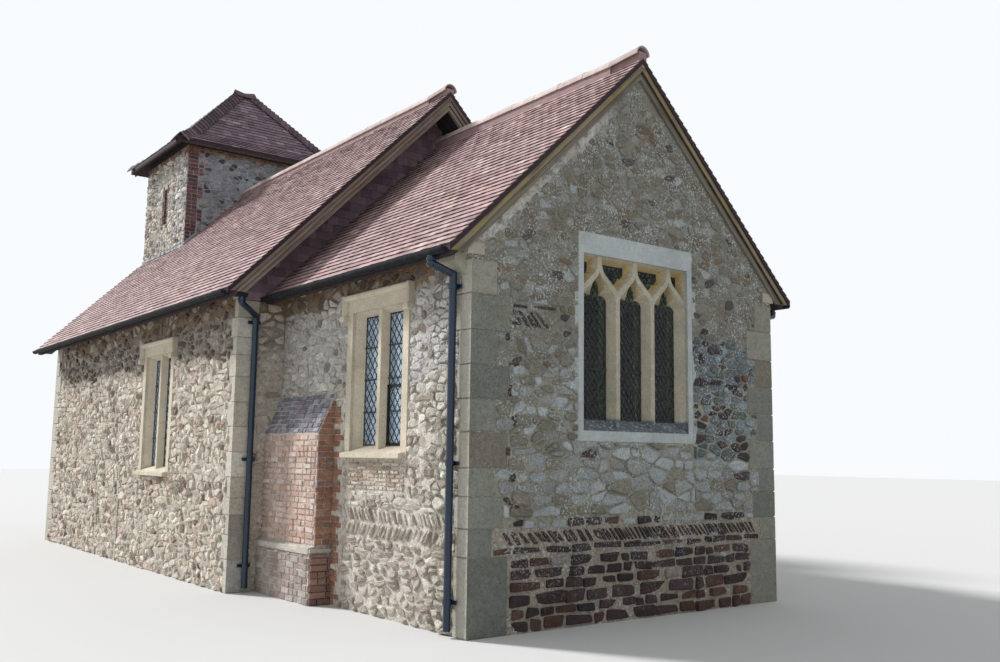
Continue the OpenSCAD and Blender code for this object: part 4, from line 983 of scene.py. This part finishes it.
casement = strip("south", CH_WINDOW - 0.46, CH_WINDOW - 0.06, 1.79, 2.45)
surround(b, facing("south", SOUTH), casement, 0.03, -0.118, -0.098, (0.02, 0.022, 0.025))
b.build("leaded_lattices", lattice_mat, "leaded_glass")


# Roof tiles

# How far the head of a tile lies under the foot of the next course, and the radius of a ridge tile
UNDER, HALF_ROUND = Vector((0, 0.016)), 0.105


def tile(builder, origin, along, up, out, width, length, tint):
    """One slightly bowed tile; its lower edge starts at origin."""
    bow, a, b = (builder.rng.uniform(least, 0.004) for least in (0.001, 0, 0))
    pts = []
    for w, level in ((-0.006, 0.008 + a), (length, 0.008)):
        for u, height in ((0.0, 0.0), (0.5, bow), (1.0, b)):
            for t in (0.0, -0.015):
                pts.append(origin + along * (u * width) + up * w + out * (level + height + t))
    faces = [(0, 2, 8, 6), (2, 4, 10, 8), (1, 7, 9, 3), (3, 9, 11, 5), (0, 1, 3, 2), (2, 3, 5, 4),
             (6, 8, 9, 7), (8, 10, 11, 9), (0, 6, 7, 1), (4, 5, 11, 10)]
    # Painted shade: the tile's underside and edges get a much darker copy of its colour.
    builder.add(pts, faces, [tint, tint] + [tuple(c * 0.38 for c in tint)] * 8)


def course(builder, centre, turned, sign, foot, head, low, high, odd, palette, spread):
    """A course of tiles between two places along a roof, half a tile further along where it is odd.

    foot and head hold its distances from the roof's centre line, on the side of the sign, and its heights.
    The centre line runs along the building, or across it where it is turned.
    """
    def point(x, y, z):
        return Vector((y, x, z) if turned else (x, y, z))

    step, length = (head - foot).normalized(), (head - foot).length + 0.004
    along, up, out = point(0, 1, 0), point(sign * step.x, 0, step.y), point(sign * step.y, 0, -step.x)
    y = low - (TILE / 2 if odd else 0)
    while y < high:
        p, q = max(y, low) + GAP, min(y + TILE, high) - GAP
        if q - p > 0.03:
            origin = point(centre[0] + sign * foot.x, centre[1] + p, foot.y)
            tile(builder, origin, along, up, out, q - p, length, builder.pick(palette, spread))
        y += TILE


def slope(builder, roof, side, y0, y1, cut=None):
    """Courses of tiles on one side of a two-sided roof."""
    axis, span, eave, tan = roof
    low, high = Vector((span, eave)), Vector((0.0, eave + span * tan))
    n = round((high - low).length / 0.1)
    for i in range(n):
        a, c = low.lerp(high, i / n), low.lerp(high, (i + 1) / n) - UNDER
        end = min(y1, cut(axis + side * a.x, axis + side * c.x)) if cut else y1
        course(builder, (axis, 0), False, side, a, c, y0, end, i % 2, CLAY, 0.18)


def tower_side(x0, x1):
    """How far the nave's courses run before they meet the tower."""
    return TOWER if any(abs(x - TOWER_AXIS) < TH for x in (x0, x1)) else 99


for side, sign in SIDES:
    b = Builder(random.Random("tiles " + side))
    slope(b, CHANCEL_ROOF, sign, CH_VERGE, HUNG)
    b.build("chancel_plain_tiles_" + side, tile_mat, "clay_tile")
    b = Builder(b.rng)
    slope(b, NAVE_ROOF, sign, VERGE, WEST + 0.06, cut=tower_side)
    b.build("nave_plain_tiles_" + side, tile_mat, "clay_tile")


def ridge(builder, x, z, y0, y1):
    """A row of half-round ridge tiles around a line, on a bed of mortar."""
    n = round((y1 - y0) / 0.44)
    step = (y1 - y0) / n
    angles = [math.radians(15 * k) for k in range(13)]

    def arc(radius, y, middle, ordered):
        return [Vector((x + radius * math.cos(t), y, middle + radius * math.sin(t))) for t in ordered]

    for i in range(n):
        tint = builder.pick(RIDGE, 0.1)
        first, last = y0 + i * step + 0.003, y0 + (i + 1) * step - 0.003
        points = []
        for y, lift in ((first, 0.030 if i == 0 else builder.rng.uniform(0, 0.006)), (last, 0.0)):
            points += arc(HALF_ROUND, y, z + lift, angles)
            points += arc(HALF_ROUND - 0.016, y, z + lift, angles[::-1])
        m = 2 * len(angles)
        faces = [(k, (k + 1) % m, m + (k + 1) % m, m + k) for k in range(m)]
        faces += [(k, k + 1, m - 2 - k, m - 1 - k) for k in range(m // 2 - 1)]
        faces += [(m + k + 1, m + k, 2 * m - 1 - k, 2 * m - 2 - k) for k in range(m // 2 - 1)]
        builder.add(points, faces, tint)
    first = y0 + step - 0.004
    # Mortar beds under the ridge tiles, darkened as painted shade.
    for a, c, half, top in ((y0 + 0.010, first, 0.060, z + 0.062), (first, y1 - 0.01, 0.086, z + 0.03)):
        section = rect(x - half, z - 0.12, x + half, top)
        builder.rings([[Vector((u, y, v)) for u, v in section] for y in (a, c)], SHADED_BED)


b = Builder(random.Random("ridge"))
ridge(b, AXIS, roof_z(CHANCEL_ROOF, AXIS) + 0.008, CH_VERGE, HUNG)
b.build("chancel_half_rounds", ridge_mat, "ridge_tile", ["chancel_ridge_tiles"])
b = Builder(b.rng)
ridge(b, 0.0, roof_z(NAVE_ROOF, 0) - 0.026, VERGE, TOWER)
b.build("nave_half_rounds", ridge_mat, "ridge_tile", ["nave_ridge_tiles"])


# Tower roof: four slopes, flatter over the eaves, with bonnet tiles over the hips

# Half spans to the eaves, heights of eaves and ridge, and the flatter part's size
SPAN_X, SPAN_Y, T_EAVE, T_RIDGE, RUN, RISE = TH + 0.28, 1.46, 7.65, 9.32, 0.33, 0.24


def tower_line(span, top):
    """Feet and heads of the courses of one slope, as (half width, height)."""
    foot, kick, peak = Vector((span, T_EAVE)), Vector((span - RUN, T_EAVE + RISE)), Vector((top, T_RIDGE))
    steps = []
    for a, c, n in ((foot, kick, 4), (kick, peak, round((peak - kick).length / 0.1))):
        steps += [(a.lerp(c, i / n), a.lerp(c, (i + 1) / n)) for i in range(n)]
    return steps


def half_at(line, z):
    """Half width of the tower roof at a height."""
    for a, c in line:
        if a.y - 1e-6 <= z <= c.y + 1e-6:
            return a.x + (c.x - a.x) * (z - a.y) / (c.y - a.y)
    return line[-1][1].x


def bonnet(builder, a, c, wide, narrow, tint):
    """An arched tile from a, its open foot, up to c."""
    flat = Vector((c.x - a.x, c.y - a.y, 0)).normalized()
    side = Vector((-flat.y, flat.x, 0))
    pts = []
    for p, w, crest in ((a, wide, 0.080), (c, narrow, 0.034)):
        for t in (0.0, -0.013):
            for k in (-1, -0.6, 0, 0.6, 1):
                drop = 0.74 * w * abs(k)
                pts.append(p + side * (w * k) + Vector((0, 0, crest * (1 - 0.55 * k * k) - drop + t)))
    faces = []
    for i in range(4):
        faces += [(i, i + 1, 11 + i, 10 + i), (5 + i, 15 + i, 16 + i, 6 + i),
                  (i, 5 + i, 6 + i, i + 1), (10 + i, 11 + i, 16 + i, 15 + i)]
    faces += [(0, 10, 15, 5), (4, 9, 19, 14)]
    builder.add(pts, faces, tint)


b = Builder(random.Random("tower roof"))
across, lengthwise = tower_line(SPAN_X, 0.16), tower_line(SPAN_Y, 0.0)
for line, other, centre in ((across, lengthwise, (TOWER_AXIS, MIDDLE)),
                            (lengthwise, across, (MIDDLE, TOWER_AXIS))):
    for sign in (-1, 1):
        for i, (a, c) in enumerate(line):
            c = c - UNDER
            half = (half_at(other, a.y) + half_at(other, c.y + UNDER.y)) / 2
            course(b, centre, line is lengthwise, sign, a, c, -half, half, i % 2, DARK, 0.2)
b.build("tower_plain_tiles", dark_tile_mat, "dark_tile")

b = Builder(b.rng)
for sx in (-1, 1):
    for sy in (-1, 1):
        for a, _ in across:
            foot, head = (
                Vector((TOWER_AXIS + sx * half_at(across, z), MIDDLE + sy * half_at(lengthwise, z), z))
                for z in (a.y, min(a.y + 0.115, T_RIDGE)))
            bonnet(b, foot, head, 0.185, 0.130, b.pick(BONNET, 0.25))
for x in (0.22, -0.22):
    foot, head = Vector((TOWER_AXIS + x, MIDDLE, T_RIDGE)), Vector((TOWER_AXIS, MIDDLE, T_RIDGE + 0.004))
    bonnet(b, foot, head, 0.16, 0.15, b.pick(BONNET, 0.2))
b.build("tower_bonnet_tiles", dark_tile_mat, "dark_tile", ["tower_hip_tiles"])


# Hung tiles on the nave's gable above the chancel roof

b = Builder(random.Random("hanging"))
place = facing("east", HUNG)
low, top, row = 3.605, roof_z(NAVE_ROOF, 0) - 0.195, 0
shoulder = roof_z(NAVE_ROOF, NH) - 0.2
under_nave = edges_of([(-NH, 0), (NH, 0), (NH, shoulder), (0, top - 0.005), (-NH, shoulder)])
while low < top:
    for half in (-1, 1):
        tan = CH_TAN * -half
        norm = math.hypot(tan, 1)
        over_chancel = tan / norm, -1 / norm, (tan * AXIS - roof_z(CHANCEL_ROOF, AXIS)) / norm
        bounds = under_nave + [over_chancel, (-half, 0, -half * AXIS)]
        u = -NH - (TILE / 2 if row % 2 else 0)
        while u < NH:
            poly = clip_to(rect(u + GAP, low, u + (TILE - GAP), low + 0.118), bounds)
            if poly and area(poly) > 0.0012:
                tint = b.pick(DARK, 0.25)
                b.rings([[place(*p, 0.002) for p in poly],
                         [place(*p, 0.014 - 0.010 * (p[1] - low) / 0.118) for p in poly]], tint)
            u += TILE
    low += 0.115
    row += 1
b.build("hung_tiles", dark_tile_mat, "dark_tile")


# Materials of the construction's own nodes

SOUTH_MORTAR = [(0, (0.52, 0.47, 0.40)), (2.95, (0.32, 0.29, 0.25)), (3.40, (0.28, 0.19, 0.115))]
CHANCEL_MORTAR = [(0, (0.62, 0.585, 0.52)), (2.3, (0.52, 0.50, 0.47)), (3.36, (0.30, 0.22, 0.155)),
                  (3.52, (0.24, 0.155, 0.09))]
GABLE_MORTAR = [(0, (0.34, 0.30, 0.24)), (1.02, (0.32, 0.31, 0.25)), (2.55, (0.235, 0.235, 0.205))]
# The chancel boards' first band, just under the tiles, is painted shade.
CHANCEL_BOARDS = [(0, (0.09, 0.07, 0.065)), (0.072, (0.25, 0.21, 0.15)), (0.160, (0.21, 0.19, 0.155))]
NAVE_BOARDS = [(0, (0.20, 0.155, 0.14)), (0.132, (0.27, 0.215, 0.185)), (0.205, (0.235, 0.19, 0.16))]

dress(mortar_material("lime_mortar", SOUTH_MORTAR), "nave_east_wall", "nave_south_wall", "nave_north_wall")
dress(mortar_material("end_mortar", [(0, (0.30, 0.275, 0.235)), (7.45, (0.24, 0.16, 0.10))]),
      "nave_west_wall", "tower_west_wall")
dress(mortar_material("pale_mortar", CHANCEL_MORTAR), "chancel_south_wall", "chancel_north_wall")
dress(mortar_material("brick_joint", [(0, (0.58, 0.54, 0.49))]), "brick_buttress")
dress(mortar_material("tower_mortar", [(0, (0.47, 0.455, 0.42)), (7.45, (0.27, 0.175, 0.11))]),
      "tower_south_wall", "tower_north_wall")
# The tower's east face: a bluer, greyer copy of the tower mortar, as painted shade.
dress(mortar_material("tower_east_mortar_in_shade", [(0, (0.335, 0.345, 0.375)), (7.45, (0.27, 0.175, 0.11))]),
      "tower_east_wall")
dress(mortar_material("gable_mortar", GABLE_MORTAR, streak=0.95, speckle=0.9), "chancel_east_wall")
# The tiles' own slabs are nearly black, as painted shade where their edges show under the tiles at the eaves
# and verges.
dress(tile_material("shaded_tile_bed", colour=(0.032, 0.022, 0.027)), "chancel_tiles_south", "chancel_tiles_north",
      "nave_tiles_south", "nave_tiles_north", "tower_tiles", "nave_tile_hanging")
dress(board_material("chancel_board", CHANCEL_ROOF, CHANCEL_BOARDS, 0.45), "chancel_bargeboards")
dress(board_material("nave_board", NAVE_ROOF, NAVE_BOARDS, 0.12), "nave_east_bargeboards",
      "nave_west_bargeboards")
dress(oak_material("dark_oak", (0.085, 0.066, 0.068), NAVE_ROOF), "chancel_roof_deck", "nave_roof_deck",
      "tower_roof_deck")
dress(oak_material("door_oak", (0.24, 0.17, 0.11), None), "west_door")
dress(paint_material("gutter_paint", (0.010, 0.012, 0.015), (0.020, 0.022, 0.026), 0.8, dusty=0.06),
      "gutters_south", "gutters_north")
dress(paint_material("pipe_paint", (0.006, 0.019, 0.040), (0.012, 0.037, 0.072), 0.22),
      "downpipes_south", "downpipes_north")
dress(limestone_material("window_stone", (0.41, 0.45, 0.46), (0.42, 0.385, 0.30), depth=EAST),
      "east_window_tracery")
dress(limestone_material("cream_stone", (0.58, 0.52, 0.42)), "chancel_south_window", "chancel_north_window",
      "nave_south_window", "nave_north_window")
dress(limestone_material("kneeler_stone", (0.38, 0.36, 0.30)), "kneeler_stones", "west_door_surround")
dress(floor_slabs("floor_stone"), "stone_floor")
dress(glass_material("east_glass", 9, (0.66, 0.78, 0.72), 1.25, 1.0), "east_window_glazing")
# Side windows: the glass's blue colour is a painted reflection of the sky.
dress(glass_material("side_glass_painted_sky", 7, (0.42, 0.59, 0.76), 2.2, 0.5), "side_window_glazing")
dress(lead_material("sheet_lead"), "lead_flashings")


# Floor, light and camera

pale = Graph("pale_floor", roughness=0.9)
pale.put(pale.shader.inputs["Base Color"], (0.58, 0.575, 0.565, 1.0))
mesh = bpy.data.meshes.new("floor")
r = 90.0
mesh.from_pydata([(-r, -r, 0), (r, -r, 0), (r, r, 0), (-r, r, 0)], [], [(0, 1, 2, 3)])
mesh.materials.append(pale.material)
floor = bpy.data.objects.new("floor", mesh)
bpy.context.collection.objects.link(floor)

world = bpy.data.worlds.new("studio")
bpy.context.scene.world = world
world.use_nodes = True
wn, wl = world.node_tree.nodes, world.node_tree.links
back, path = wn["Background"], wn.new("ShaderNodeLightPath")
back.inputs["Color"].default_value = (0.94, 0.97, 1.0, 1.0)
seen = path.outputs["Is Camera Ray"]
for ray in ("Is Transmission Ray", "Is Glossy Ray"):
    either = wn.new("ShaderNodeMath")
    either.operation = "MAXIMUM"
    wl.new(seen, either.inputs[0])
    wl.new(path.outputs[ray], either.inputs[1])
    seen = either.outputs[0]
level = wn.new("ShaderNodeMapRange")
level.inputs["To Min"].default_value, level.inputs["To Max"].default_value = 0.65, 1.0
wl.new(seen, level.inputs["Value"])
wl.new(level.outputs["Result"], back.inputs["Strength"])

key = bpy.data.objects.new("key", bpy.data.lights.new("key", "SUN"))
key.data.energy, key.data.angle = 4.4, math.radians(8)
key.rotation_euler = Vector((-0.372, 0.711, 0.596)).to_track_quat("Z", "Y").to_euler()
bpy.context.collection.objects.link(key)

# The photograph's place: turned to the right of +y, tipped up and rolled a little
yaw, pitch, roll = (math.radians(a) for a in (37.5991, 7.3697, 0.7188))
cam = bpy.data.cameras.new("camera")
cam.sensor_width, cam.lens = 36.0, 35.138
camera = bpy.data.objects.new("camera", cam)
ahead = Vector((math.sin(yaw) * math.cos(pitch), math.cos(yaw) * math.cos(pitch), math.sin(pitch)))
level_right = Vector((math.cos(yaw), -math.sin(yaw), 0))
level_up = level_right.cross(ahead)
right = level_right * math.cos(roll) + level_up * math.sin(roll)
up = level_up * math.cos(roll) - level_right * math.sin(roll)
turn = Matrix((right, up, -ahead)).transposed().to_4x4()
camera.matrix_world = Matrix.Translation((-7.5521, -14.12, 1.6791)) @ turn
bpy.context.collection.objects.link(camera)
bpy.context.scene.camera = camera
bpy.context.scene.view_settings.view_transform = "Standard"
